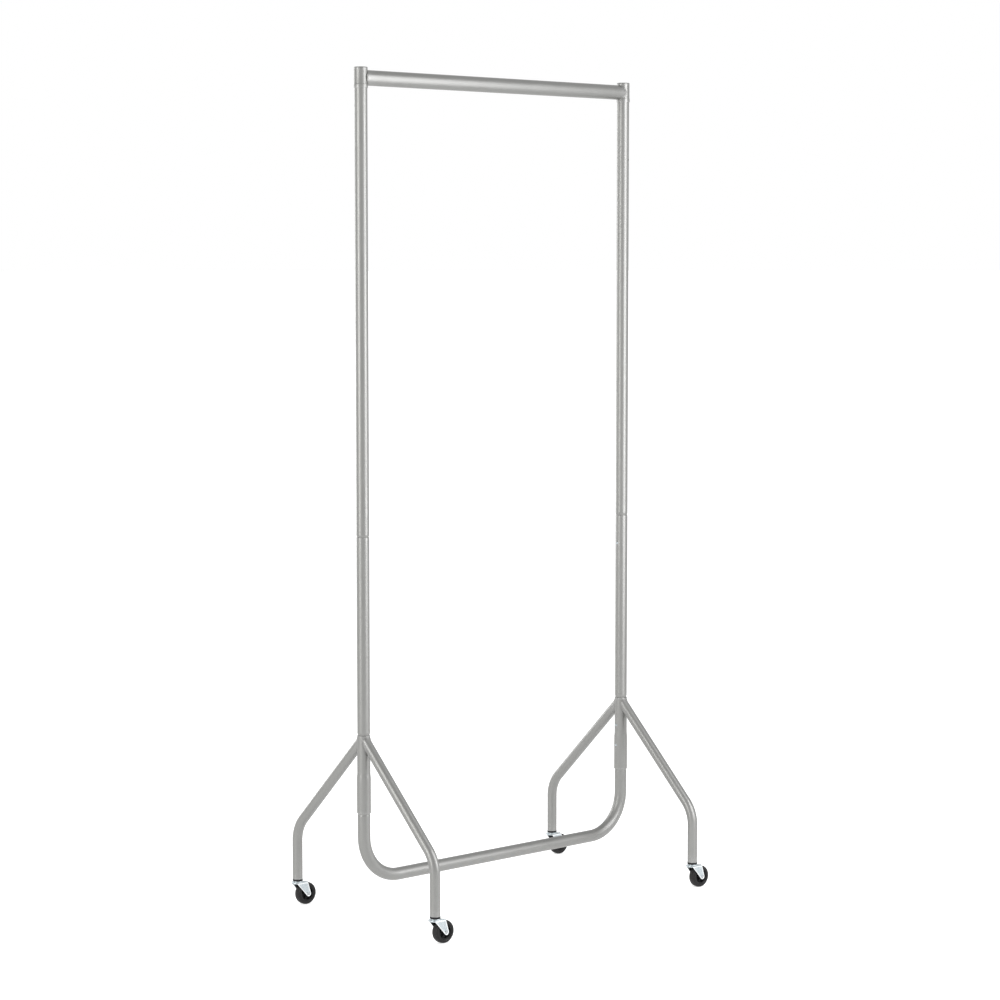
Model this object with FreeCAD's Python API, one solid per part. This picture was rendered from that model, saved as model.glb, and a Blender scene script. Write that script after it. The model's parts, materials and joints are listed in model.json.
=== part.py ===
import FreeCAD, Part
import math
import os

os.makedirs("parts", exist_ok=True)

# A knock-down garment rail on casters, in millimetres.
# X runs along the hanging rail, Y from front to rear, Z up from the floor.
# The posts, feet and casters at one end are the other end turned half round.

# ---- overall ----
SPAN = 900.0             # post axis to post axis
HEIGHT = 2134.0          # floor to the top of the rail collars
FOOT_SPREAD = 546.0      # front leg axis to rear leg axis
JOINT_GAP = 0.1          # radial gap between tubes that plug together
RIM = 0.5                # bevel on the cut end of a tube

# ---- posts ----
POST_OD = 32.0
POST_WALL = 1.5
POST_JOINT_Z = 977.0     # where the upper post sits on the lower one
SHOULDER = 6.0           # height of the taper down to the spigot
SPIGOT_LENGTH = 90.0
BUTTON_DROP = 75.0       # seat to button, on every spigot
VENT_RADIUS = 2.2
VENT_DROP = 153.0        # below the rail collar
VENT_TURN = 112.0        # degrees round the post from its snap button

# ---- hanging rail ----
RAIL_OD = 38.0
RAIL_WALL = 1.5
RAIL_DROP = 26.0         # rail axis below the top of the collar
RAIL_END_TRIM = 7.0      # the rail's side walls stop this far from the post axis
COLLAR_WALL = 1.4
COLLAR_LENGTH = 51.0
CAP_THICK = 3.0
CAP_PLUG = 6.0
CAP_ROUND = 1.4

# ---- sleeve of the foot frame ----
SLEEVE_TOP = 480.0
SLEEVE_LENGTH = 196.0
SLEEVE_WALL = 2.1
SLEEVE_WIDE_WALL = 1.6
SLEEVE_FLARE = 16.0
SLEEVE_TIGHT_BORE = POST_OD / 2 - POST_WALL

# ---- legs ----
LEG_OD = 26.0
LEG_WALL = 1.5
LEG_BEND = 85.0
LEG_JOIN_DROP = 6.5      # leg axis meets the sleeve axis this far below its rim
LEG_CORNER_Z = 205.0

# ---- base bar ----
BAR_OD = POST_OD
BAR_WALL = 1.5
BAR_Z = 113.0
BAR_BEND = 110.0
BAR_PLUG = 82.0          # how far the bar reaches up into the sleeve
BAR_TOP_GAP = 4.0        # from the end of the bar to the sleeve's flare
BAR_BUTTON_RISE = 66.0   # button above the sleeve's lower rim

# ---- snap buttons ----
BUTTON_RADIUS = 3.0
BUTTON_GAP = 0.1
BUTTON_PROUD = 2.2       # beyond the outer tube
BUTTON_DOME = 1.2
BUTTON_FLANGE_RADIUS = 4.5
BUTTON_FLANGE = 0.8
SPRING_WIDTH = 8.0
SPRING_THICK = 0.6
SPRING_LEG = 16.0
SPRING_TAIL = 7.0

# ---- casters ----
EDGE_BEVEL = 1.0
PLUG_FLANGE = 5.0
PLUG_FLANGE_RADIUS = LEG_OD / 2 + 0.3
PLUG_DEPTH = 36.0
PLUG_GAP = 0.05
STEM_RADIUS = 5.0
STEM_DEPTH = 34.0
NECK_RADIUS = 4.0
NECK_GAP = 0.1
PEEN_RADIUS = 6.5
PEEN_THICK = 1.8
RACE_GAP = 0.2
RACE_TOP = 1.1
RACE_RADIUS = 13.3
RACE_SKIRT = 3.6
RACE_WALL = 1.0
BALL_RADIUS = 1.4
BALL_CIRCLE = 9.4
BALL_COUNT = 14
BALL_GAP = 0.05
FORK_THICK = 1.8
FORK_HALF_WIDTH = 13.5
FORK_HEAD_RADIUS = 17.0
FORK_REAR = 22.0
FORK_SKIRT = 4.0         # turned-down edge round the front of the head
FORK_TIP_RADIUS = 7.0
FORK_RIM_WIDTH = 2.2
FORK_RIM_PROUD = 0.8
FORK_BEAD_RADIUS = 1.5
FORK_BEADS = (12.0, 18.0)
TRAIL = 25.0
AXLE_RADIUS = 3.0
AXLE_HEAD_RADIUS = 4.4
AXLE_HEAD = 1.6
WHEEL_RADIUS = 29.0
WHEEL_HEAD_GAP = 1.0     # top of the tread to the fork's head
WHEEL_WIDTH = 21.0
WHEEL_CROWN = 4.0
TYRE_INNER = 19.0
HUB_BORE_GAP = 0.1
HUB_RADIUS = 7.0
HUB_SIDE_GAP = 0.4
HUB_WEB = 3.0
HUB_RIM = 2.0
HUB_RIM_WIDTH = 17.0

# ---- places ----
COLLAR_RADIUS = POST_OD / 2 + JOINT_GAP + COLLAR_WALL
SLEEVE_RADIUS = SLEEVE_TIGHT_BORE + SLEEVE_WALL
SLEEVE_WIDE_BORE = BAR_OD / 2 + JOINT_GAP
SLEEVE_WIDE_RADIUS = SLEEVE_WIDE_BORE + SLEEVE_WIDE_WALL
SLEEVE_BOTTOM = SLEEVE_TOP - SLEEVE_LENGTH
COLLAR_BOTTOM = HEIGHT - COLLAR_LENGTH
RAIL_Z = HEIGHT - RAIL_DROP
POST_TOP = HEIGHT - CAP_THICK - CAP_PLUG
FLARE_END = SLEEVE_BOTTOM + BAR_PLUG + BAR_TOP_GAP
FLARE_TOP = FLARE_END + SLEEVE_FLARE
AXLE_Z = WHEEL_RADIUS
HEAD_BOTTOM = 2 * WHEEL_RADIUS + WHEEL_HEAD_GAP
HEAD_TOP = HEAD_BOTTOM + FORK_THICK
RACE_Z = HEAD_TOP + RACE_TOP + 2 * (BALL_RADIUS + BALL_GAP)
PLUG_BOTTOM = RACE_Z + RACE_GAP
LEG_END_Z = PLUG_BOTTOM + PLUG_FLANGE
FORK_INNER = FORK_HALF_WIDTH - FORK_THICK

# The wheels trail toward +X, so the frame sits a little toward -X of the
# middle of the bounding box.
WIDEST = max(COLLAR_RADIUS, SLEEVE_WIDE_RADIUS, FORK_HEAD_RADIUS)
FRAME_X = -(TRAIL + WHEEL_RADIUS - WIDEST) / 2

ENDS = (("left", -1, 0.0), ("right", 1, 180.0))
SIDES = (("front", -1), ("rear", 1))

V = FreeCAD.Vector
UP = V(0, 0, 1)
ALONG_X = V(1, 0, 0)
ALONG_Y = V(0, 1, 0)


def save(name, shape):
    """Writes one piece as parts/NAME.step."""
    shape.exportStep(os.path.join("parts", name + ".step"))


def rod(radius, z0, z1):
    """Solid cylinder on the Z axis."""
    return Part.makeCylinder(radius, z1 - z0, V(0, 0, z0), UP)


def pin(radius, start, direction, length):
    """Solid cylinder from a point along a direction."""
    return Part.makeCylinder(radius, length, start, direction)


def turned(points, axis=UP):
    """Solid of revolution of a closed (radius, height) outline."""
    across = ALONG_X if axis == UP else UP
    corners = [across * r + axis * h for r, h in points]
    outline = Part.makePolygon(corners + [corners[0]])
    return Part.Face(outline).revolve(V(0, 0, 0), axis, 360)


def swept(path, radius):
    """Solid round bar along a path that starts at the path's first vertex."""
    edge = path.Edges[0]
    start = edge.valueAt(edge.FirstParameter)
    ring = Part.Wire(Part.makeCircle(radius, start, edge.tangentAt(edge.FirstParameter)))
    return path.makePipeShell([ring], True, True)


def swept_tube(path, outer, wall):
    """Round tube along a path."""
    return swept(path, outer).cut(swept(path, outer - wall))


def rounded_path(points, radius):
    """Wire of straight runs through the points, each corner bent to a radius."""
    edges = []
    last = points[0]
    for before, corner, after in zip(points, points[1:], points[2:]):
        back = (before - corner).normalize()
        ahead = (after - corner).normalize()
        half = (math.pi - back.getAngle(ahead)) / 2
        reach = radius * math.tan(half)
        inward = (back + ahead).normalize()
        enter = corner + back * reach
        leave = corner + ahead * reach
        middle = corner + inward * (radius / math.cos(half) - radius)
        edges.append(Part.makeLine(last, enter))
        edges.append(Part.Arc(enter, middle, leave).toShape())
        last = leave
    edges.append(Part.makeLine(last, points[-1]))
    return Part.Wire(edges)


def placed(shape, x=0.0, y=0.0, turn=0.0):
    """Copy turned about Z, then moved over the floor."""
    copy = shape.copy()
    copy.rotate(V(0, 0, 0), UP, turn)
    copy.translate(V(x, y, 0))
    return copy


# ---------------------------------------------------------------- posts

def post(seat, top):
    """Tube with its lower end swaged to a spigot; the taper sits on a rim at seat."""
    outer = POST_OD / 2
    bore = outer - POST_WALL
    spigot = bore - JOINT_GAP
    hollow = spigot - POST_WALL
    neck = seat - JOINT_GAP * SHOULDER / POST_WALL
    end = seat - SPIGOT_LENGTH
    body = turned([
        (bore, top),
        (outer - RIM, top),
        (outer, top - RIM),
        (outer, seat + SHOULDER),
        (spigot, neck),
        (spigot, end),
        (hollow, end),
        (hollow, neck),
        (bore, seat + SHOULDER),
    ])
    return body.cut(button_hole(seat - BUTTON_DROP))


def button_hole(z):
    """Cutter for a snap-button hole through the inward wall."""
    return pin(BUTTON_RADIUS + BUTTON_GAP, V(0, 0, z), ALONG_X, POST_OD)


def vent_hole():
    """Cutter for the small hole near the top of an upper post."""
    angle = math.radians(VENT_TURN)
    direction = V(math.cos(angle), math.sin(angle), 0)
    return pin(VENT_RADIUS, V(0, 0, COLLAR_BOTTOM - VENT_DROP), direction, POST_OD)


def make_posts():
    """Upper and lower posts of both ends."""
    upper = post(POST_JOINT_Z, POST_TOP).cut(vent_hole())
    lower = post(SLEEVE_TOP, POST_JOINT_Z).cut(button_hole(POST_JOINT_Z - BUTTON_DROP))
    for end, sign, turn in ENDS:
        x = FRAME_X + sign * SPAN / 2
        save("upper_post_" + end, placed(upper, x, turn=turn))
        save("lower_post_" + end, placed(lower, x, turn=turn))


# ---------------------------------------------------------------- hanging rail

def collar():
    """Open tube that slips over the top of a post."""
    bore = POST_OD / 2 + JOINT_GAP
    top = HEIGHT - CAP_THICK
    return turned([
        (bore, top),
        (COLLAR_RADIUS, top),
        (COLLAR_RADIUS, COLLAR_BOTTOM + RIM),
        (COLLAR_RADIUS - RIM, COLLAR_BOTTOM),
        (bore, COLLAR_BOTTOM),
    ])


def collar_cap():
    """Round-edged disc with a plug, closing the top of a collar."""
    plug = POST_OD / 2 + JOINT_GAP
    seat = HEIGHT - CAP_THICK
    disc = rod(COLLAR_RADIUS, seat, HEIGHT)
    top_edge = [e for e in disc.Edges if abs(e.CenterOfMass.z - HEIGHT) < RIM / 2]
    disc = disc.makeFillet(CAP_ROUND, top_edge)
    return disc.fuse(rod(plug, seat - CAP_PLUG, seat)).removeSplitter()


def make_hanging_rail():
    """Rail tube coped against the two collars, with the collars and their caps."""
    reach = SPAN / 2
    radius = RAIL_OD / 2
    start = V(-reach, 0, RAIL_Z)
    rail = pin(radius, start, ALONG_X, SPAN)
    rail = rail.cut(pin(radius - RAIL_WALL, start, ALONG_X, SPAN))
    rail = rail.common(Part.makeBox(
        SPAN - 2 * RAIL_END_TRIM, RAIL_OD, RAIL_OD,
        V(RAIL_END_TRIM - reach, -radius, RAIL_Z - radius)))
    for end, sign, turn in ENDS:
        cutter = placed(rod(COLLAR_RADIUS, COLLAR_BOTTOM, HEIGHT), sign * reach)
        rail = rail.cut(cutter)
        x = FRAME_X + sign * reach
        save("rail_collar_" + end, placed(collar(), x))
        save("rail_cap_" + end, placed(collar_cap(), x))
    save("hanging_rail", placed(rail, FRAME_X))


# ---------------------------------------------------------------- foot frames

def sleeve():
    """Upright tube of a foot frame; its lower half is widened to take the base bar."""
    body = turned([
        (SLEEVE_TIGHT_BORE, SLEEVE_TOP),
        (SLEEVE_RADIUS - RIM, SLEEVE_TOP),
        (SLEEVE_RADIUS, SLEEVE_TOP - RIM),
        (SLEEVE_RADIUS, FLARE_TOP),
        (SLEEVE_WIDE_RADIUS, FLARE_END),
        (SLEEVE_WIDE_RADIUS, SLEEVE_BOTTOM + RIM),
        (SLEEVE_WIDE_RADIUS - RIM, SLEEVE_BOTTOM),
        (SLEEVE_WIDE_BORE, SLEEVE_BOTTOM),
        (SLEEVE_WIDE_BORE, FLARE_END),
        (SLEEVE_TIGHT_BORE, FLARE_TOP),
    ])
    body = body.cut(button_hole(SLEEVE_TOP - BUTTON_DROP))
    return body.cut(button_hole(SLEEVE_BOTTOM + BAR_BUTTON_RISE))


def leg(sign):
    """Bent tube from the sleeve out and down to a caster, coped to the sleeve."""
    join_z = SLEEVE_TOP - LEG_JOIN_DROP
    out = sign * FOOT_SPREAD / 2
    path = rounded_path(
        [V(0, 0, join_z), V(0, out, LEG_CORNER_Z), V(0, out, LEG_END_Z)], LEG_BEND)
    tube = swept_tube(path, LEG_OD / 2, LEG_WALL)
    return tube.cut(rod(SLEEVE_RADIUS, LEG_CORNER_Z, SLEEVE_TOP + LEG_OD))


def make_foot_frames():
    """Sleeve and two welded legs at each end."""
    for end, sign, turn in ENDS:
        x = FRAME_X + sign * SPAN / 2
        save("foot_sleeve_" + end, placed(sleeve(), x, turn=turn))
        for side, way in SIDES:
            save("leg_" + side + "_" + end, placed(leg(way), x))


def make_base_bar():
    """U-shaped tube whose two ends plug up into the sleeves."""
    reach = SPAN / 2
    top = SLEEVE_BOTTOM + BAR_PLUG
    corners = [V(-reach, 0, top), V(-reach, 0, BAR_Z), V(reach, 0, BAR_Z), V(reach, 0, top)]
    bar = swept_tube(rounded_path(corners, BAR_BEND), BAR_OD / 2, BAR_WALL)
    for end, sign, turn in ENDS:
        hole = button_hole(SLEEVE_BOTTOM + BAR_BUTTON_RISE)
        bar = bar.cut(placed(hole, sign * reach, turn=turn))
    save("base_bar", placed(bar, FRAME_X))


# ---------------------------------------------------------------- snap buttons

def flat_reach(bore, half_width):
    """How far out a flat of this half width goes before its edges touch the bore."""
    return math.sqrt(bore ** 2 - half_width ** 2)


def snap_button(bore, outside, z):
    """Domed button on a flange that stops it inside the plugged tube."""
    stop = flat_reach(bore, BUTTON_FLANGE_RADIUS)
    tip = outside + BUTTON_PROUD
    shank = pin(BUTTON_RADIUS, V(stop, 0, z), ALONG_X, tip - stop)
    tip_edge = [e for e in shank.Edges if abs(e.CenterOfMass.x - tip) < RIM / 2]
    shank = shank.makeFillet(BUTTON_DOME, tip_edge)
    back = V(stop - BUTTON_FLANGE, 0, z)
    flange = pin(BUTTON_FLANGE_RADIUS, back, ALONG_X, BUTTON_FLANGE)
    return shank.fuse(flange).removeSplitter()


def snap_spring(bore, z):
    """Leaf spring bent to a U, pressed between the button and the far wall."""
    front = flat_reach(bore, BUTTON_FLANGE_RADIUS) - BUTTON_FLANGE - SPRING_THICK / 2
    rear = -flat_reach(bore, SPRING_WIDTH / 2) + SPRING_THICK / 2
    low = z - SPRING_TAIL
    high = z + SPRING_LEG
    fold = (front - rear) / 2
    crown = V((front + rear) / 2, 0, high + fold)
    path = Part.Wire([
        Part.makeLine(V(front, 0, low), V(front, 0, high)),
        Part.Arc(V(front, 0, high), crown, V(rear, 0, high)).toShape(),
        Part.makeLine(V(rear, 0, high), V(rear, 0, low)),
    ])
    half_t = SPRING_THICK / 2
    half_w = SPRING_WIDTH / 2
    section = Part.makePolygon([
        V(front - half_t, -half_w, low),
        V(front + half_t, -half_w, low),
        V(front + half_t, half_w, low),
        V(front - half_t, half_w, low),
        V(front - half_t, -half_w, low),
    ])
    return path.makePipeShell([section], True, True)


def make_snap_buttons():
    """A button and its spring at each plugged joint of both ends."""
    spigot_bore = POST_OD / 2 - 2 * POST_WALL - JOINT_GAP
    bar_bore = BAR_OD / 2 - BAR_WALL
    joints = (
        ("post", spigot_bore, POST_OD / 2, POST_JOINT_Z - BUTTON_DROP),
        ("foot", spigot_bore, SLEEVE_RADIUS, SLEEVE_TOP - BUTTON_DROP),
        ("bar", bar_bore, SLEEVE_WIDE_RADIUS, SLEEVE_BOTTOM + BAR_BUTTON_RISE),
    )
    for joint, bore, outside, z in joints:
        button = snap_button(bore, outside, z)
        spring = snap_spring(bore, z)
        for end, sign, turn in ENDS:
            x = FRAME_X + sign * SPAN / 2
            save("button_" + joint + "_" + end, placed(button, x, turn=turn))
            save("spring_" + joint + "_" + end, placed(spring, x, turn=turn))


# ---------------------------------------------------------------- casters

def leg_plug():
    """Plastic insert in the end of a leg, with a socket for the caster stem."""
    body = LEG_OD / 2 - LEG_WALL - PLUG_GAP
    top = LEG_END_Z + PLUG_DEPTH
    return turned([
        (STEM_RADIUS, top),
        (body - EDGE_BEVEL, top),
        (body, top - EDGE_BEVEL),
        (body, LEG_END_Z),
        (PLUG_FLANGE_RADIUS, LEG_END_Z),
        (PLUG_FLANGE_RADIUS, PLUG_BOTTOM + EDGE_BEVEL),
        (PLUG_FLANGE_RADIUS - EDGE_BEVEL, PLUG_BOTTOM),
        (STEM_RADIUS, PLUG_BOTTOM),
    ])


def stem():
    """Steel pin held in the leg plug, with a neck and a peened end under the fork."""
    top = LEG_END_Z + STEM_DEPTH
    neck_top = RACE_Z - RACE_TOP
    peen_top = HEAD_BOTTOM - NECK_GAP
    return turned([
        (0.0, top),
        (STEM_RADIUS - EDGE_BEVEL, top),
        (STEM_RADIUS, top - EDGE_BEVEL),
        (STEM_RADIUS, neck_top),
        (NECK_RADIUS, neck_top),
        (NECK_RADIUS, peen_top),
        (PEEN_RADIUS, peen_top),
        (PEEN_RADIUS - EDGE_BEVEL, peen_top - PEEN_THICK),
        (0.0, peen_top - PEEN_THICK),
    ])


def race():
    """Pressed cup on the stem that covers the ball ring."""
    inner = RACE_RADIUS - RACE_WALL
    low = RACE_Z - RACE_SKIRT
    return turned([
        (STEM_RADIUS, RACE_Z),
        (RACE_RADIUS - EDGE_BEVEL, RACE_Z),
        (RACE_RADIUS, RACE_Z - EDGE_BEVEL),
        (RACE_RADIUS, low),
        (inner, low),
        (inner, RACE_Z - RACE_TOP),
        (STEM_RADIUS, RACE_Z - RACE_TOP),
    ])


def balls():
    """Ring of bearing balls between the fork and the cup."""
    z = HEAD_TOP + BALL_GAP + BALL_RADIUS
    ring = []
    for k in range(BALL_COUNT):
        angle = 2 * math.pi * k / BALL_COUNT
        centre = V(BALL_CIRCLE * math.cos(angle), BALL_CIRCLE * math.sin(angle), z)
        ring.append(Part.makeSphere(BALL_RADIUS, centre))
    return Part.makeCompound(ring)


def tangent_point(point, centre, radius, side):
    """Where the line from a point touches a circle in the XZ plane."""
    gap = point - centre
    spread = math.acos(radius / gap.Length) * side
    angle = math.atan2(gap.z, gap.x) + spread
    return centre + V(radius * math.cos(angle), 0, radius * math.sin(angle))


def arm_outline():
    """Face of one fork arm in the XZ plane, a triangle with a round tip at the axle."""
    axle = V(TRAIL, 0, AXLE_Z)
    front = -math.sqrt(FORK_HEAD_RADIUS ** 2 - FORK_HALF_WIDTH ** 2)
    top_front = V(front, 0, HEAD_TOP)
    low_front = V(front, 0, HEAD_TOP - FORK_SKIRT)
    top_rear = V(FORK_REAR, 0, HEAD_TOP)
    rear_touch = tangent_point(top_rear, axle, FORK_TIP_RADIUS, -1)
    front_touch = tangent_point(low_front, axle, FORK_TIP_RADIUS, 1)
    tip = axle - UP * FORK_TIP_RADIUS
    return Part.Face(Part.Wire([
        Part.makeLine(low_front, top_front),
        Part.makeLine(top_front, top_rear),
        Part.makeLine(top_rear, rear_touch),
        Part.Arc(rear_touch, tip, front_touch).toShape(),
        Part.makeLine(front_touch, low_front),
    ]))


def fork_head():
    """Round plate with flat sides and an edge turned down round its front half."""
    low = HEAD_TOP - FORK_SKIRT
    span = 2 * FORK_HALF_WIDTH
    plate = rod(FORK_HEAD_RADIUS, HEAD_BOTTOM, HEAD_TOP)
    skirt = rod(FORK_HEAD_RADIUS, low, HEAD_TOP).cut(rod(FORK_HEAD_RADIUS - FORK_THICK, low, HEAD_TOP))
    front_half = Part.makeBox(
        FORK_HEAD_RADIUS, span, FORK_SKIRT, V(-FORK_HEAD_RADIUS, -FORK_HALF_WIDTH, low))
    whole = Part.makeBox(
        2 * FORK_HEAD_RADIUS, span, FORK_THICK, V(-FORK_HEAD_RADIUS, -FORK_HALF_WIDTH, HEAD_BOTTOM))
    return plate.common(whole).fuse(skirt.common(front_half))


def fork():
    """Pressed fork: a round head whose two sides are folded down into arms."""
    head = fork_head()
    outline = arm_outline()
    plate = outline.extrude(ALONG_Y * FORK_THICK)
    panel = outline.makeOffset2D(-FORK_RIM_WIDTH)
    edging = outline.cut(panel).extrude(ALONG_Y * FORK_RIM_PROUD)
    body = head
    for way in (-1, 1):
        inner = plate.copy()
        rim = edging.copy()
        inner.translate(ALONG_Y * (FORK_INNER if way > 0 else -FORK_HALF_WIDTH))
        rim.translate(ALONG_Y * (FORK_HALF_WIDTH if way > 0 else -FORK_HALF_WIDTH - FORK_RIM_PROUD))
        body = body.fuse([inner, rim])
        for u in FORK_BEADS:
            base = V(u, way * FORK_HALF_WIDTH - way * FORK_THICK, HEAD_TOP)
            body = body.fuse(pin(FORK_BEAD_RADIUS, base, ALONG_Y * way, FORK_THICK + FORK_RIM_PROUD))
    body = body.cut(rod(NECK_RADIUS + NECK_GAP, HEAD_BOTTOM - PEEN_THICK, HEAD_TOP + PEEN_THICK))
    bore = pin(AXLE_RADIUS, V(TRAIL, -WHEEL_WIDTH, AXLE_Z), ALONG_Y, 2 * WHEEL_WIDTH)
    return body.cut(bore).removeSplitter()


def axle():
    """Rivet through the fork arms."""
    shaft = pin(AXLE_RADIUS, V(TRAIL, -FORK_HALF_WIDTH, AXLE_Z), ALONG_Y, 2 * FORK_HALF_WIDTH)
    for way in (-1, 1):
        seat = V(TRAIL, way * FORK_HALF_WIDTH, AXLE_Z)
        head = pin(AXLE_HEAD_RADIUS, seat, ALONG_Y * way, AXLE_HEAD)
        outer = way * (FORK_HALF_WIDTH + AXLE_HEAD)
        edge = [e for e in head.Edges if abs(e.CenterOfMass.y - outer) < RIM / 2]
        shaft = shaft.fuse(head.makeFillet(AXLE_HEAD / 2, edge))
    return shaft.removeSplitter()


def at_axle(shape):
    """Moves a wheel piece made on the Y axis onto the caster's axle line."""
    shape.translate(V(TRAIL, 0, AXLE_Z))
    return shape


def hub():
    """Moulded wheel centre with a thin web between bore and rim."""
    bore = AXLE_RADIUS + HUB_BORE_GAP
    side = FORK_INNER - HUB_SIDE_GAP
    rim = TYRE_INNER - HUB_RIM
    edge = HUB_RIM_WIDTH / 2
    web = HUB_WEB / 2
    half = [(bore, side), (HUB_RADIUS, side), (HUB_RADIUS, web), (rim, web), (rim, edge),
            (TYRE_INNER, edge)]
    other = [(r, -h) for r, h in reversed(half)]
    return at_axle(turned(half + other, ALONG_Y))


def tyre():
    """Black tread ring with a rounded crown."""
    side = WHEEL_WIDTH / 2
    shoulder = WHEEL_RADIUS - WHEEL_CROWN
    edge = HUB_RIM_WIDTH / 2
    inner = Part.makePolygon([
        V(0, -side, shoulder), V(0, -side, TYRE_INNER + HUB_RIM), V(0, -edge, TYRE_INNER),
        V(0, edge, TYRE_INNER), V(0, side, TYRE_INNER + HUB_RIM), V(0, side, shoulder)])
    crown = Part.Arc(V(0, side, shoulder), V(0, 0, WHEEL_RADIUS), V(0, -side, shoulder)).toShape()
    outline = Part.Face(Part.Wire(inner.Edges + [crown]))
    return at_axle(outline.revolve(V(0, 0, 0), ALONG_Y, 360))


def make_casters():
    """Plug, stem, bearing, fork, axle and wheel under each leg."""
    pieces = (
        ("leg_plug", leg_plug()),
        ("caster_stem", stem()),
        ("caster_race", race()),
        ("caster_balls", balls()),
        ("caster_fork", fork()),
        ("caster_axle", axle()),
        ("wheel_hub", hub()),
        ("wheel_tyre", tyre()),
    )
    for end, sign, turn in ENDS:
        for side, way in SIDES:
            x = FRAME_X + sign * SPAN / 2
            y = way * FOOT_SPREAD / 2
            for name, shape in pieces:
                save(name + "_" + side + "_" + end, placed(shape, x, y))


make_hanging_rail()
make_posts()
make_foot_frames()
make_base_bar()
make_snap_buttons()
make_casters()
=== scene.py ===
"""Looks of a rolling clothes rack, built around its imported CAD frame, in metres."""
import json
import math

import bmesh
import bpy
import numpy as np
from bpy.props import FloatProperty, FloatVectorProperty, PointerProperty
from mathutils import Euler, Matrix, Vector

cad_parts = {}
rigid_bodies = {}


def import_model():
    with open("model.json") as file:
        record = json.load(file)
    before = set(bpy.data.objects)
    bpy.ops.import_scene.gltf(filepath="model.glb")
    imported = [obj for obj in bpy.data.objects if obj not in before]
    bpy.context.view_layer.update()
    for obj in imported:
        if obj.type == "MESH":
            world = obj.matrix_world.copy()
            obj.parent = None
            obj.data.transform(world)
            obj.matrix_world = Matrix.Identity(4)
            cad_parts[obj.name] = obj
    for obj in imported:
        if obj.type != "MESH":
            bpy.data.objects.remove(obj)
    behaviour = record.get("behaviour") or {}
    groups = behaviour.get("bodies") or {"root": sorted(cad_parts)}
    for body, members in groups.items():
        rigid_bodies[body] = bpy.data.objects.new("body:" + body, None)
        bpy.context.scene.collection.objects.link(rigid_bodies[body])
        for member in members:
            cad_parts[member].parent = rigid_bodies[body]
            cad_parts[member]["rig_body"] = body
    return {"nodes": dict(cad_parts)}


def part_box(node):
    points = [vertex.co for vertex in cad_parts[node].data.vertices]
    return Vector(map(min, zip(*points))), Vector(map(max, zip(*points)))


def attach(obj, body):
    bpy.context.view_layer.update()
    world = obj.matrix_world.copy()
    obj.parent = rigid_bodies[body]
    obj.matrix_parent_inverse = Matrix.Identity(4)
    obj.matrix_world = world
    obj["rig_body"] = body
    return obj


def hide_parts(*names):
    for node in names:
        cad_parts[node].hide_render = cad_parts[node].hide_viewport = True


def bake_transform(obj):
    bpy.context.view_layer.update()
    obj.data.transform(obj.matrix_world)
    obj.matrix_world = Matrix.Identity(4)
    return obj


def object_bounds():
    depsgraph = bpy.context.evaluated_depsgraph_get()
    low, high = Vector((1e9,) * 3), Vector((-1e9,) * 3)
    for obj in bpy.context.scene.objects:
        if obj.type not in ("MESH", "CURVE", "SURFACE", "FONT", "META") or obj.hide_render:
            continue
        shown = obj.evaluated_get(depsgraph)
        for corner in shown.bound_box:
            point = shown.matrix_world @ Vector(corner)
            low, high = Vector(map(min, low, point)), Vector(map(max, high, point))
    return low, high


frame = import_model()
CAD_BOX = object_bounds()

bl_info = {
    "name": "Rolling clothes rack",
    "version": (1, 0, 0),
    "blender": (4, 5, 0),
    "location": "3D View > Sidebar > Rack",
    "description": "Builds the tubes, joints, casters and studio of a rolling clothes rack",
    "category": "Add Mesh",
}

ENDS = ("left", "right")
SIDES = ("front", "rear")
COLUMNS = 90            # points round a tube
VENT_COLUMNS = 28       # columns from a post's snap button round to its vent
RIM_WEAR = 0.0022       # metres over which rubbing fades from a cut end
HOLE_WEAR = 0.0012      # and from the edge of a hole
BEAD_RIPPLE = 0.06      # height of a weld bead's ripples, as a share of its radius
CENTRE_STEP = 0.0012    # longest step along a wheel centre's outline, in metres
CAMERA_YAW = math.radians(41.97)
STRIP_HEIGHT = 3.0      # of each strip light, and the height of its middle
STRIP_MIDDLE = 1.95
TINY = 1e-6


def linear(text):
    """Turns an sRGB hex colour into linear red, green and blue."""
    value = np.array([int(text[i:i + 2], 16) for i in (1, 3, 5)]) / 255
    return tuple(np.where(value <= 0.04045, value / 12.92, ((value + 0.055) / 1.055) ** 2.4))


def low(node):
    """Lowest corner of a CAD node, as an array."""
    return np.array(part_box(node)[0])


def high(node):
    """Highest corner of a CAD node, as an array."""
    return np.array(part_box(node)[1])


def middle(node):
    """Middle of a CAD node's box."""
    return (low(node) + high(node)) / 2


def half_size(node):
    """Half of a CAD node's size along each axis."""
    return (high(node) - low(node)) / 2


def inward(end):
    """+1 where the middle of the rack lies toward +X of this end, otherwise -1."""
    return 1 if end == "left" else -1


# ------------------------------------------------------------------ sizes and colours

def size(name, description, default):
    """A length property with a default in metres."""
    return FloatProperty(
        name=name, description=description, default=default, min=0.0, precision=5,
        subtype="DISTANCE", unit="LENGTH")


def colour(name, description, default):
    """A colour property whose default is an sRGB hex value."""
    return FloatVectorProperty(
        name=name, description=description, default=linear(default), min=0.0, max=1.0,
        size=3, subtype="COLOR")


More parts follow.
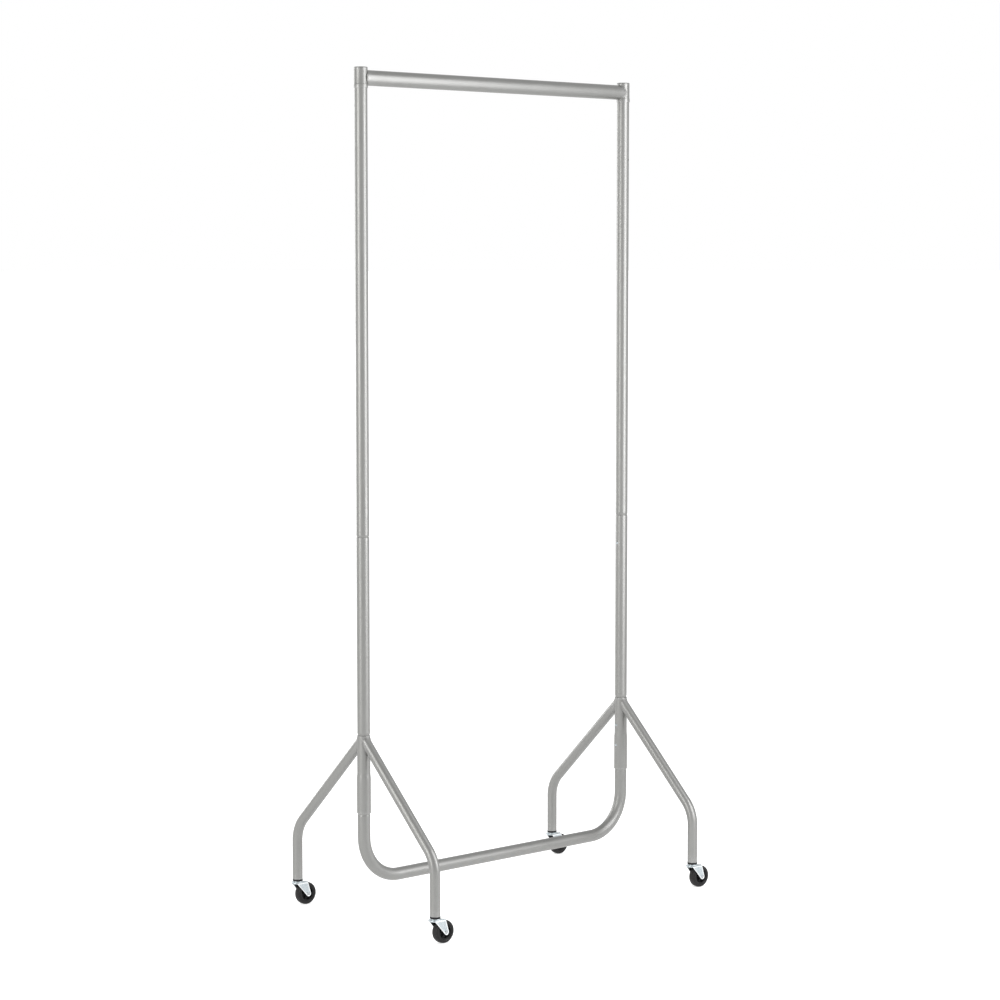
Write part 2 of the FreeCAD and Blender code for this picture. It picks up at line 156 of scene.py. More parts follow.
class RackSizes(bpy.types.PropertyGroup):
    """Lengths of the details that the CAD boxes don't give."""
    tube_wall: size("Tube wall", "Wall of the posts, rail, legs and base bar", 0.0015)
    tube_gap: size("Tube gap", "Radial gap between tubes that plug together", 0.0001)
    rim_round: size("Rim rounding", "Rounding on the cut end of a tube", 0.0004)
    shoulder: size("Shoulder", "Height of the swaged shoulder on a post", 0.008)
    button_bore: size("Button hole radius", "Hole in a tube for a snap button", 0.0031)
    vent_bore: size("Vent radius", "Small hole near the top of a post", 0.0022)
    vent_drop: size("Vent drop", "Vent hole below the rail collar", 0.153)
    collar_band: size("Collar band", "Plain band at the lower rim of a rail collar", 0.009)
    collar_groove: size("Collar groove", "Depth of the line above that band", 0.0003)
    collar_lip: size("Collar lip", "How far that band stands out", 0.0007)
    collar_line: size("Collar line", "Half the width of that groove", 0.0005)
    cap_seam: size("Cap seam", "Height of a collar cap's disc", 0.003)
    rail_trim: size("Rail trim", "Where the rail's side walls stop, from the post axis", 0.007)
    sleeve_wall: size("Sleeve wall", "Wall of a foot sleeve above its flare", 0.0021)
    flare: size("Flare", "Height of a foot sleeve's flare", 0.016)
    bar_clearance: size("Bar clearance", "From the end of the base bar to the flare", 0.004)
    leg_bend: size("Leg bend", "Bend radius of a leg's axis", 0.085)
    leg_corner: size("Leg corner", "Height where a leg's two straight axes meet", 0.205)
    leg_join: size("Leg join", "Where a leg's axis meets the sleeve's, below its rim", 0.0065)
    bar_bend: size("Bar bend", "Bend radius of the base bar's axis", 0.110)
    neck: size("Bar neck", "Depth of the base bar's neck just under a sleeve", 0.0007)
    neck_length: size("Bar neck length", "Length of that neck", 0.006)
    bead: size("Weld bead", "Radius of a weld bead", 0.0015)
    bead_pitch: size("Weld pitch", "Distance between the ripples of a weld", 0.0030)
    button_step: size("Button step", "How far a snap button's flange stands out", 0.0015)
    button_flange: size("Button flange", "Thickness of that flange", 0.0008)
    spring_sheet: size("Spring sheet", "Thickness of a snap button's leaf spring", 0.0006)
    stem_radius: size("Stem radius", "Radius of a caster stem and of its socket", 0.005)
    stem_neck: size("Stem neck", "Radius of the stem where it goes through the fork", 0.004)
    cup_sheet: size("Cup sheet", "Thickness of a bearing cup", 0.001)
    fork_sheet: size("Fork sheet", "Thickness of the pressed fork", 0.0018)
    fork_fold: size("Fork fold", "Outer bend radius between the fork's head and arms", 0.0026)
    fork_rim: size("Fork rim", "Width of the raised edge round a fork arm", 0.0027)
    fork_proud: size("Fork rim height", "How far that edge stands out", 0.0008)
    fork_skirt: size("Fork skirt", "Depth of the turned-down edge round the head", 0.004)
    fork_tip: size("Fork tip", "Radius of a fork arm's round tip", 0.007)
    fork_rear: size("Fork rear", "From the stem's axis to a rear corner of the head", 0.022)
    fork_lip: size("Fork lip", "Depth of the curve in the head's rear edge", 0.005)
    fork_hole: size("Fork hole", "Radius of the stem's hole in the head", 0.0041)
    fork_bump: size("Fork bump", "Radius of the two pressed bumps on an arm", 0.0017)
    bump_first: size("First bump", "From the stem's axis to the first bump", 0.012)
    bump_step: size("Bump step", "From the first bump to the second", 0.006)
    rivet_head: size("Rivet head", "Thickness of an axle rivet's heads", 0.0016)
    rivet_shaft: size("Rivet shaft", "Radius of the rivet's shaft", 0.003)
    wheel_bore: size("Wheel bore", "Radius of the hole in a wheel centre", 0.0031)
    wheel_boss: size("Wheel boss", "Radius of a wheel centre's boss", 0.007)
    wheel_web: size("Wheel web", "Half the thickness of the web", 0.0015)
    wheel_rim: size("Wheel rim", "Thickness of the rim round the web", 0.002)
    wheel_edge: size("Wheel edge", "Half the width of that rim", 0.0085)
    rib_half: size("Rib", "Half the width of a rib on the web", 0.0009)
    rib_drop: size("Rib drop", "From the rim's edge down to a rib's top", 0.0015)
    tread_crown: size("Tread crown", "How far the tread's middle stands above its shoulders", 0.004)
    tread_step: size("Tread step", "Height of the step at each side of the tread", 0.002)
    parting_line: size("Parting line", "Height of the mould line round the tread", 0.0001)


class RackColours(bpy.types.PropertyGroup):
    """Colours of the finishes."""
    coat: colour("Powder coat", "Silver-grey powder coat", "#8e8e8c")
    coat_flake: colour("Powder coat flake", "Lighter metal flake in the coat", "#9a9a98")
    coat_worn: colour("Worn coat", "Rubbed coat at rims and holes", "#b2b2b2")
    zinc: colour("Zinc", "Bright zinc plate", "#c9d0d3")
    zinc_dull: colour("Dull zinc", "Zinc where it has dulled", "#aab3b8")
    # Painted highlight: near-white zinc that goes on the fork's raised edges and bumps.
    zinc_painted_highlight: colour("Painted zinc highlight", "Painted highlight on the zinc at a raised edge", "#f2f5f6")
    steel: colour("Bearing steel", "Bare ground steel", "#b9babb")
    dark_steel: colour("Phosphated steel", "Dark plated caster stem", "#55565a")
    dark_steel_stain: colour("Phosphated steel stain", "The stem where it is darker", "#3c3d40")
    spring: colour("Spring steel", "Blued and oiled spring steel", "#6b6764")
    spring_stain: colour("Spring steel stain", "Where the oil has gathered", "#4d4a4c")
    plastic: colour("Black plastic", "Moulded polypropylene", "#161618")
    plastic_rubbed: colour("Rubbed plastic", "Polypropylene where it is shiny", "#222224")
    rubber: colour("Black tread", "Moulded tread", "#151415")
    dust: colour("Floor dust", "Dust rubbed into the tread", "#2f2e2d")
    floor: colour("Floor", "Plain pale floor", "#fbfbfb")


# ------------------------------------------------------------------ meshes

def grid_faces(rows, columns, wrap_rows=True, wrap_columns=True):
    """Quads between neighbours of a grid of points, going round where the grid wraps."""
    r = np.arange(rows if wrap_rows else rows - 1)[:, None]
    c = np.arange(columns if wrap_columns else columns - 1)[None, :]
    r_next, c_next = (r + 1) % rows, (c + 1) % columns
    corners = (r * columns + c, r_next * columns + c,
               r_next * columns + c_next, r * columns + c_next)
    return np.stack(corners, axis=-1).reshape(-1, 4)

def around(count):
    """Angles of evenly spaced points round a circle."""
    return np.arange(count) * 2 * np.pi / count


def loop_faces(a, b):
    """Quads between two loops with the same number of points."""
    return np.stack([a, np.roll(a, -1), np.roll(b, -1), b], 1)


def weld(points, quads, extra):
    """Joins points that lie together, drops unused ones, and turns a quad with two joined corners
    into a triangle."""
    keep, index = np.unique(quads, return_inverse=True)
    points, extra, quads = points[keep], extra[keep], index.reshape(-1, 4)
    _, first, index = np.unique(
        np.round(points, 7), axis=0, return_index=True, return_inverse=True)
    quads = index.ravel()[quads]
    differs = quads != np.roll(quads, 1, axis=1)
    differs &= (quads != np.roll(quads, 2, axis=1)) | (np.arange(4) < 2)
    count = differs.sum(axis=1)
    four, three = quads[count == 4], quads[count == 3][differs[count == 3]].reshape(-1, 3)
    return points[first], four.tolist() + three.tolist(), extra[first]


def make_piece(name, points, quads, node=None, slot="grey_coat", wear_and_highlight=None, sharp=35.0,
               rides=True):
    """Makes a mesh object from points and quads in its slot's material, faces outward, smooth but
    for edges over `sharp` degrees, with a share at each point as an attribute, and ties it to the
    frame. The share is wear on a tube, dust on a tread, and a painted highlight on a fork's raised
    edges. A piece that bends between two bodies rides on neither."""
    extra = np.zeros(len(points)) if wear_and_highlight is None else np.asarray(wear_and_highlight, float)
    points, faces, extra = weld(np.asarray(points, float), quads, extra)
    mesh = bpy.data.meshes.new(name)
    mesh.from_pydata(points.tolist(), [], faces)
    shell = bmesh.new()
    shell.from_mesh(mesh)
    bmesh.ops.recalc_face_normals(shell, faces=shell.faces)
    shell.to_mesh(mesh)
    shell.free()
    mesh.polygons.foreach_set("use_smooth", np.ones(len(mesh.polygons), bool))
    mesh.set_sharp_from_angle(angle=math.radians(sharp))
    worn_and_highlight = mesh.attributes.new("wear_and_highlight", "FLOAT", "POINT")
    worn_and_highlight.data.foreach_set("value", extra.astype(np.float32))
    mesh.materials.append(material_for(slot))
    piece = bpy.data.objects.new(name, mesh)
    bpy.context.scene.collection.objects.link(piece)
    body = frame["nodes"][node]["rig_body"] if node else "rack"
    if node:
        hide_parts(node)
    if rides:
        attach(piece, body)
    return piece


def give_material(node, material):
    """Puts a material in every slot of a CAD node that stays in view."""
    piece = frame["nodes"][node]
    if not piece.material_slots:
        piece.data.materials.append(material)
    for place in piece.material_slots:
        place.material = material


def rounded(corners, radii, closed=False, steps=6):
    """Outline with its corners eased: round each corner a quadratic curve that leaves the sides
    at the given distance from the corner."""
    c = np.array(corners, float)
    r = np.array(np.broadcast_to(radii, len(c)), float)[:, None]
    back, ahead = np.roll(c, 1, 0) - c, np.roll(c, -1, 0) - c
    if not closed:
        r[[0, -1]] = 0.0
    start = (c + back / np.linalg.norm(back, axis=1, keepdims=True) * r)[:, None]
    end = (c + ahead / np.linalg.norm(ahead, axis=1, keepdims=True) * r)[:, None]
    t = np.linspace(0, 1, steps)[None, :, None]
    curve = (1 - t) ** 2 * start + 2 * t * (1 - t) * c[:, None] + t ** 2 * end
    return curve.reshape(-1, 2)


def ease(t):
    """Half a cosine wave from 0 to 1, held at its ends."""
    return (1 - np.cos(np.pi * np.clip(t, 0, 1))) / 2


def turned(name, outline, centre, node, slot, closed=False, along="z", columns=64, ribs=None,
           wear_and_highlight=None):
    """Solid of revolution: each (radius, height) of the outline goes round the axis through
    `centre`. ribs(radius, height, angle) gives the height again where it changes with the angle."""
    r, h = outline[:, :1], outline[:, 1:]
    a = np.broadcast_to(around(columns), (len(outline), columns))
    h = h + 0 * a if ribs is None else ribs(r, h, a)
    x, y = r * np.cos(a), r * np.sin(a)
    points = np.stack((x, y, h) if along == "z" else (x, h, y), axis=-1).reshape(-1, 3) + centre
    worn_and_highlight = None if wear_and_highlight is None else np.broadcast_to(wear_and_highlight(r, h), a.shape).ravel()
    quads = grid_faces(len(outline), columns, wrap_rows=closed)
    return make_piece(name, points, quads, node, slot, wear_and_highlight=worn_and_highlight)


# ------------------------------------------------------------------ tubes

def wall_outline(stations, outer, inner, rim):
    """Closed (radius, along) outline of a tube wall: up the outside through the stations, a
    quarter round over the far rim, down the inside and a quarter round over the near rim. Rows
    lie close together at each rim, so that its wear stays narrow."""
    first, last = np.min(stations), np.max(stations)
    near = rim * np.array([4.0, 10.0, 20.0])
    s = np.unique(np.round(np.concatenate([stations, first + near, last - near]), 9))
    between = s[(s > first + rim + TINY) & (s < last - rim - TINY)]
    s = np.concatenate([[first + rim], between, [last - rim]])
    a = np.linspace(0, np.pi / 2, 5)[1:]
    c, d = rim * np.cos(a), rim * np.sin(a)
    out_far = np.stack([outer(last) - rim + c, last - rim + d], 1)
    in_far = np.stack([inner(last) + rim - c, last - rim + d], 1)[::-1]
    in_near = np.stack([inner(first) + rim - c, first + rim - d], 1)
    out_near = np.stack([outer(first) - rim + c, first + rim - d], 1)[::-1]
    up = np.stack([outer(s), s], 1)
    down = np.stack([inner(s), s], 1)[::-1]
    return np.concatenate([up, out_far, in_far, down, in_near, out_near])


def column_width(radius):
    """Distance between neighbouring columns of a tube."""
    return radius * 2 * np.pi / COLUMNS


def hole_cells(bore, radius):
    """Half the width, in columns, of the patch that is cut out round a hole."""
    return int(np.ceil(1.3 * bore / column_width(radius)))


def hole_stations(along, bore, radius):
    """Rows that a tube needs round a hole, as far apart as its columns."""
    cells = hole_cells(bore, radius)
    return along + np.arange(-cells, cells + 1) * column_width(radius)


def drill(grid, outline, theta, along, bore, radius):
    """Opens a round hole through both walls. In each wall a square patch of quads goes, and rings
    of quads run from its edge to a circle of radius `bore`, seen along the hole's axis. Quads
    between the two circles line the hole."""
    cells = hole_cells(bore, radius)
    near = np.abs(outline[:, 1] - along) < (cells + 0.5) * column_width(radius)
    split = outline[near, 0].mean()
    outside = np.flatnonzero(near & (outline[:, 0] > split))
    inside = np.flatnonzero(near & (outline[:, 0] < split))[::-1]
    columns = (round(theta * COLUMNS / (2 * np.pi)) + np.arange(-cells, cells + 1)) % COLUMNS
    gone, rings, lining = [], [], []
    for band in (outside, inside):
        index = band[:, None] * COLUMNS + columns[None, :]
        gone.append((np.sort(band)[:-1, None] * COLUMNS + columns[None, :-1]).ravel())
        edge = np.concatenate([index[0, :-1], index[:-1, -1], index[-1, :0:-1], index[:0:-1, 0]])
        wall = grid[edge, 2]
        across = wall * np.sin(grid[edge, 0] - theta)
        rise = grid[edge, 1] - along
        loop = edge
        for share in (1 / 3, 2 / 3, 1):
            scale = 1 + share * (bore / np.hypot(across, rise) - 1)
            turn = theta + np.arcsin(across * scale / wall)
            ring = np.arange(len(edge)) + len(grid)
            grid = np.concatenate([grid, np.stack([turn, along + rise * scale, wall], 1)])
            rings.append(loop_faces(loop, ring))
            loop = ring
        lining.append(loop)
    rings.append(loop_faces(*lining))
    return grid, rings, gone


def tube(name, outline, place, node, holes=()):
    """Coated round tube with both walls. place(angle, along, radius) maps the outline's points,
    carried round the tube, to the rack. holes are (angle, along, hole radius, tube radius)."""
    a, s = np.meshgrid(around(COLUMNS), outline[:, 1])
    r = np.broadcast_to(outline[:, :1], a.shape)
    grid = np.stack([a, s, r], -1).reshape(-1, 3)
    quads = grid_faces(len(outline), COLUMNS)
    left = np.ones(len(quads), bool)
    added = []
    for hole in holes:
        grid, rings, gone = drill(grid, outline, *hole)
        left[np.concatenate(gone)] = False
        added += rings
    first, last = outline[:, 1].min(), outline[:, 1].max()
    wear_and_highlight = np.exp(-np.minimum(grid[:, 1] - first, last - grid[:, 1]) / RIM_WEAR)
    for theta, along, bore, radius in holes:
        off = np.hypot(radius * np.sin((grid[:, 0] - theta) / 2) * 2, grid[:, 1] - along)
        wear_and_highlight = np.maximum(wear_and_highlight, np.exp(-np.maximum(off - bore, 0) / HOLE_WEAR))
    points = place(grid[:, 0], grid[:, 1], grid[:, 2])
    return make_piece(name, points, np.concatenate([quads[left], *added]), node, wear_and_highlight=wear_and_highlight)


def upright(x, y):
    """Map for a tube that stands at (x, y): along is the height."""
    return lambda a, s, r: np.stack([x + r * np.cos(a), y + r * np.sin(a), s], -1)


def bent_path(corners, bend):
    """Axis of a tube in a plane: straight runs whose corners are arcs of one radius. Returns a
    function from distance along it to point and direction, and the distances at which its runs
    and arcs start, with the whole length last."""
    c = np.array(corners, float)
    d = np.diff(c, axis=0)
    run = np.linalg.norm(d, axis=1)
    d /= run[:, None]
    turn = np.arctan2(d[:-1, 0] * d[1:, 1] - d[:-1, 1] * d[1:, 0], (d[:-1] * d[1:]).sum(1))
    reach = bend * np.tan(np.abs(turn) / 2)
    straight = run - np.append(reach, 0) - np.insert(reach, 0, 0)
    arc = bend * np.abs(turn)
    pieces = np.empty(2 * len(run) - 1)
    pieces[0::2], pieces[1::2] = straight, arc
    knots = np.insert(np.cumsum(pieces), 0, 0.0)
    heading = np.arctan2(d[0, 1], d[0, 0]) + np.insert(np.cumsum(turn), 0, 0.0)
    starts = np.empty((len(pieces), 2))
    starts[0] = c[0]
    starts[2::2] = c[1:-1] + d[1:] * reach[:, None]
    starts[1::2] = c[1:-1] - d[:-1] * reach[:, None]

    def at(s):
        s = np.asarray(s, float)
        k = np.clip(np.searchsorted(knots, s, side="right") - 1, 0, len(pieces) - 1)
        t = s - knots[k]
        h = heading[k // 2]
        way = np.where(k % 2 == 1, np.sign(np.append(turn, 0)[k // 2]), 0)
        now = h + way * t / bend
        side = np.where(way == 0, 1, way)
        line = starts[k] + t[..., None] * np.stack([np.cos(h), np.sin(h)], -1)
        curve = starts[k] + (bend * side)[..., None] * np.stack(
            [np.sin(now) - np.sin(h), np.cos(h) - np.cos(now)], -1)
        heading_now = np.stack([np.cos(now), np.sin(now)], -1)
        return np.where((way == 0)[..., None], line, curve), heading_now

    return at, knots


def weld_bead(name, curve, sizes, girth=1.0):
    """Weld bead: a round of small radius carried along a closed curve, its radius rippled like
    overlapping coins."""
    step = np.roll(curve, -1, 0) - np.roll(curve, 1, 0)
    ahead = step / np.linalg.norm(step, axis=1, keepdims=True)
    length = np.insert(np.cumsum(np.linalg.norm(np.diff(curve, axis=0), axis=1)), 0, 0)
    total = length[-1] + np.linalg.norm(curve[0] - curve[-1])
    ripples = round(total / sizes.bead_pitch)
    radius = girth * sizes.bead * (
        1 + BEAD_RIPPLE * np.abs(np.sin(np.pi * ripples * length / total)))
    out = curve - curve.mean(axis=0)
    out -= (out * ahead).sum(1, keepdims=True) * ahead
    out /= np.linalg.norm(out, axis=1, keepdims=True)
    side = np.cross(ahead, out)
    a = around(14)[None, :, None]
    points = curve[:, None] + radius[:, None, None] * (
        np.cos(a) * out[:, None] + np.sin(a) * side[:, None])
    return make_piece(name, points.reshape(-1, 3), grid_faces(*points.shape[:2]), sharp=180.0)


# ------------------------------------------------------------------ materials

def add(tree, kind, settings=None, links=None):
    """Adds a node. settings are input values or properties, and links are inputs fed by a socket.
    An input goes by its name or number."""
    made = tree.nodes.new("ShaderNode" + kind)
    for name, value in (settings or {}).items():
        if isinstance(name, int) or name in made.inputs:
            made.inputs[name].default_value = value
        else:
            setattr(made, name, value)
    for name, socket in (links or {}).items():
        tree.links.new(socket, made.inputs[name])
    return made


def new_material(name, **constants):
    """A material with a Principled shader whose sockets hold the constants, and object
    coordinates to draw patterns on."""
    material = bpy.data.materials.new(name)
    material.use_nodes = True
    tree = material.node_tree
    shader = tree.nodes["Principled BSDF"]
    for socket, value in constants.items():
        shader.inputs[socket.replace("_", " ")].default_value = value
    coordinates = add(tree, "TexCoord").outputs["Object"]
    return material, tree, shader, coordinates


def per_metre(millimetres):
    """Scale of a noise whose lumps are this many millimetres across."""
    return 1000.0 / millimetres


def opaque(rgb):
    """A colour with full alpha."""
    return (*rgb, 1.0)


def mottle(tree, where, millimetres, detail, low_at, high_at):
    """Noise with lumps of a real size, stretched so that its low and high shares become 0 and 1."""
    noise = add(tree, "TexNoise", {"Scale": per_metre(millimetres), "Detail": detail},
                {"Vector": where}).outputs[0]
    return add(tree, "MapRange", {"From Min": low_at, "From Max": high_at},
               {"Value": noise}).outputs["Result"]


def surface(tree, shader, tone, gloss, roughness, height, strength, depth):
    """Feeds a shader its colour, a roughness that goes between two values with the gloss pattern,
    and a bump whose depth is in metres."""
    rough = add(tree, "MapRange", {"To Min": roughness[0], "To Max": roughness[1]},
                {"Value": gloss}).outputs["Result"]
    bump = add(tree, "Bump", {"Strength": strength, "Distance": depth},
               {"Height": height}).outputs["Normal"]
    for socket, source in (("Base Color", tone), ("Roughness", rough), ("Normal", bump)):
        tree.links.new(source, shader.inputs[socket])


def powder_coat(colours):
    """Polyester powder coat with fine metal flake, baked on steel tube. It has a satin shine, an
    orange-peel skin, faint clouds where the powder went on thicker, and rubs bright at rims."""
    material, tree, shader, where = new_material("silver_powder_coat", Metallic=0.9)
    flake = mottle(tree, where, 0.6, 2.0, 0.3, 0.7)    # flake is 0.1 mm, drawn coarser to show
    cloud = mottle(tree, where, 55.0, 3.0, 0.3, 0.7)
    peel = mottle(tree, where, 2.6, 1.0, 0.2, 0.8)
    scuff = mottle(tree, where, 3.5, 6.0, 0.42, 0.62)
    coat = add(tree, "Mix", {"data_type": "RGBA", 6: opaque(colours.coat),
                             7: opaque(colours.coat_flake)}, {0: flake}).outputs[2]
    dimmed = add(tree, "MapRange", {"To Min": 0.985, "To Max": 1.01}, {"Value": cloud})
    coat = add(tree, "HueSaturation",
               links={"Value": dimmed.outputs["Result"], "Color": coat}).outputs["Color"]
    worn_and_highlight = add(tree, "Attribute", {"attribute_name": "wear_and_highlight"}).outputs["Fac"]
    rubbed_and_highlight = add(tree, "Math", {"operation": "MULTIPLY"}, {0: worn_and_highlight, 1: scuff}).outputs[0]
    tone = add(tree, "Mix", {"data_type": "RGBA", 7: opaque(colours.coat_worn)},
               {0: rubbed_and_highlight, 6: coat}).outputs[2]
    surface(tree, shader, tone, cloud, (0.37, 0.44), peel, 0.2, 0.00002)
    return material


def bright_zinc(colours):
    """Bright zinc plate with a clear passivate on pressed steel. It is cool and shiny, with dull
    patches where it has been handled and fine drag lines from the press. Its raised edges are mixed
    toward near-white as a painted highlight."""
    material, tree, shader, where = new_material("bright_zinc_plate", Metallic=1.0)
    patch = mottle(tree, where, 5.0, 3.0, 0.3, 0.8)
    squeezed = add(tree, "Mapping", {"Scale": (0.12, 1.0, 1.0)}, {"Vector": where}).outputs[0]
    drag = mottle(tree, squeezed, 0.5, 2.0, 0.3, 0.7)
    plate = add(tree, "Mix", {"data_type": "RGBA", 6: opaque(colours.zinc),
                              7: opaque(colours.zinc_dull)}, {0: patch}).outputs[2]
    # Painted highlight: the raised-edge share turns the zinc near-white.
    rubbed_and_highlight = add(tree, "Attribute", {"attribute_name": "wear_and_highlight"}).outputs["Fac"]
    tone = add(tree, "Mix", {"data_type": "RGBA", 7: opaque(colours.zinc_painted_highlight)},
               {0: rubbed_and_highlight, 6: plate}).outputs[2]
    gloss = add(tree, "Math", {"operation": "MULTIPLY_ADD", 1: 0.12},
                {0: patch, 2: drag}).outputs[0]
    surface(tree, shader, tone, gloss, (0.2, 0.34), drag, 0.2, 0.00002)
    return material


def steel(name, rgb, roughness, tint):
    """Bare or oxide-dark steel, turned or rolled: faint tool lines, and stains where oil has
    gathered."""
    material, tree, shader, where = new_material(name, Metallic=1.0)
    stain = mottle(tree, where, 6.0, 4.0, 0.35, 0.7)
    lines = add(tree, "Mapping", {"Scale": (0.1, 0.1, 1.0)}, {"Vector": where}).outputs["Vector"]
    tool = mottle(tree, lines, 0.4, 1.0, 0.3, 0.7)
    tone = add(tree, "Mix", {"data_type": "RGBA", 6: opaque(rgb), 7: opaque(tint)},
               {0: stain}).outputs[2]
    surface(tree, shader, tone, stain, (roughness, roughness + 0.14), tool, 0.15, 0.00002)
    return material


def polypropylene(colours):
    """Black polypropylene, injection moulded in a spark-eroded tool: an even fine grain, shiny
    only where it has been rubbed."""
    material, tree, shader, where = new_material(
        "moulded_polypropylene", IOR=1.49, Specular_IOR_Level=0.3)
    grain = mottle(tree, where, 0.7, 1.0, 0.3, 0.7)
    rubbed_and_highlight = mottle(tree, where, 9.0, 3.0, 0.45, 0.7)
    tone = add(tree, "Mix", {"data_type": "RGBA", 6: opaque(colours.plastic),
                             7: opaque(colours.plastic_rubbed)}, {0: rubbed_and_highlight}).outputs[2]
    surface(tree, shader, tone, rubbed_and_highlight, (0.52, 0.34), grain, 0.3, 0.00004)
    return material


def tread_rubber(colours):
    """Black thermoplastic rubber, moulded: a soft dark sheen, with pale dust rubbed into the
    part of the tread that rolls."""
    material, tree, shader, where = new_material(
        "black_thermoplastic_rubber", IOR=1.5, Specular_IOR_Level=0.3)
    rolled = add(tree, "Attribute", {"attribute_name": "wear_and_highlight"}).outputs["Fac"]
    patch = mottle(tree, where, 4.0, 5.0, 0.42, 0.66)
    grain = mottle(tree, where, 0.9, 2.0, 0.3, 0.7)
    dusty = add(tree, "Math", {"operation": "MULTIPLY"}, {0: rolled, 1: patch}).outputs[0]
    thin = add(tree, "MapRange", {"To Max": 0.45}, {"Value": dusty}).outputs["Result"]
    tone = add(tree, "Mix", {"data_type": "RGBA", 6: opaque(colours.rubber),
                             7: opaque(colours.dust)}, {0: thin}).outputs[2]
    surface(tree, shader, tone, dusty, (0.38, 0.7), grain, 0.25, 0.00005)
    return material


def material_for(slot):
    """The material of a slot of the record, made once."""
    colours = bpy.context.scene.rack_colours
    makers = {
        "grey_coat": ("silver_powder_coat", lambda: powder_coat(colours)),
        "zinc_plate": ("bright_zinc_plate", lambda: bright_zinc(colours)),
        "bearing_steel": ("ground_bearing_steel", lambda: steel(
            "ground_bearing_steel", colours.steel, 0.22, colours.zinc_dull)),
        "dark_steel": ("phosphated_steel", lambda: steel(
            "phosphated_steel", colours.dark_steel, 0.38, colours.dark_steel_stain)),
        "spring_steel": ("blued_spring_steel", lambda: steel(
            "blued_spring_steel", colours.spring, 0.3, colours.spring_stain)),
        "black_plastic": ("moulded_polypropylene", lambda: polypropylene(colours)),
        "black_rubber": ("black_thermoplastic_rubber", lambda: tread_rubber(colours)),
    }
    name, make = makers[slot]
    return bpy.data.materials.get(name) or make()


# ------------------------------------------------------------------ operators

class RackOperator(bpy.types.Operator):
    """Shared parts of the rack's operators."""
    bl_options = {"REGISTER", "UNDO"}

    @property
    def sizes(self):
        """The lengths in the scene's property group."""
        return bpy.context.scene.rack_sizes


class RACK_OT_hanging_rail(RackOperator):
    """Rail tube, coped to the two end collars and welded to them, with the collars' caps"""
    bl_idname = "rack.hanging_rail"
    bl_label = "Hanging rail"

    def execute(self, context):
        sizes = self.sizes
        radius = half_size("hanging_rail")[1]
        hub = middle("hanging_rail")
        half = (middle("rail_collar_right") - middle("rail_collar_left"))[0] / 2
        collar = half_size("rail_collar_left")[0]

        def cope(y):
            """Where the rail ends: on the collar's round, easing into the trim so that it never
            comes nearer the collar's axis."""
            round_off = np.sqrt(np.maximum(collar ** 2 - y ** 2, 0))
            ease_off = np.hypot(round_off - sizes.rail_trim, sizes.rail_trim / 4)
            return half - (round_off + sizes.rail_trim + ease_off) / 2

        def place(a, s, r):
            y = r * np.cos(a)
            return np.stack([hub[0] + s * cope(y) / half, hub[1] + y, hub[2] + r * np.sin(a)], -1)

        outline = wall_outline(
            np.linspace(-half, half, 31), lambda s: radius + 0 * s,
            lambda s: radius - sizes.tube_wall + 0 * s, sizes.rim_round / 4)
        tube("hanging_rail_tube", outline, place, "hanging_rail")
        root = radius - sizes.bead
        y, z = root * np.cos(around(240)), root * np.sin(around(240))
        for end in ENDS:
            self.collar(end, collar)
            x = hub[0] - inward(end) * cope(y)
            curve = np.stack([x, hub[1] + y, hub[2] + z], -1)
            weld_bead("rail_weld_" + end, curve, sizes, girth=1.4)
        return {"FINISHED"}

    def collar(self, end, radius):
        """Collar: a tube with a plain band at its lower rim and a thin line above the band. Its
        cap is a disc with a round edge over a plug."""
        sizes = self.sizes
        node, cap = "rail_collar_" + end, "rail_cap_" + end
        first, last = low(node)[2], high(node)[2]
        bore = half_size("upper_post_" + end)[0] + sizes.tube_gap
        line = first + sizes.collar_band

        def outer(s):
            """Plain radius, less a narrow bell-shaped groove at the line, and less the lip above
            it."""
            groove = sizes.collar_groove * np.exp(-((s - line) / sizes.collar_line) ** 2)
            return radius - groove - sizes.collar_lip * ease((s - line) / sizes.collar_line / 2)

        x, y = middle(node)[:2]
        stations = np.append([first, last], line + np.linspace(-2, 2, 9) * sizes.collar_line)
        outline = wall_outline(stations, outer, lambda s: bore + 0 * s, sizes.rim_round)
        tube("rail_collar_tube_" + end, outline, upright(x, y), node)
        top, base = high(cap)[2], low(cap)[2]
        seat = top - sizes.cap_seam
        edge = radius - sizes.collar_lip
        disc = rounded(
            [(0, base), (bore, base), (bore, seat), (edge, seat), (edge, top), (0, top)],
            [0, 0.0005, 0, 0.0002, 0.0027, 0])
        turned("rail_cap_disc_" + end, disc, (x, y, 0), cap, "grey_coat", columns=COLUMNS)


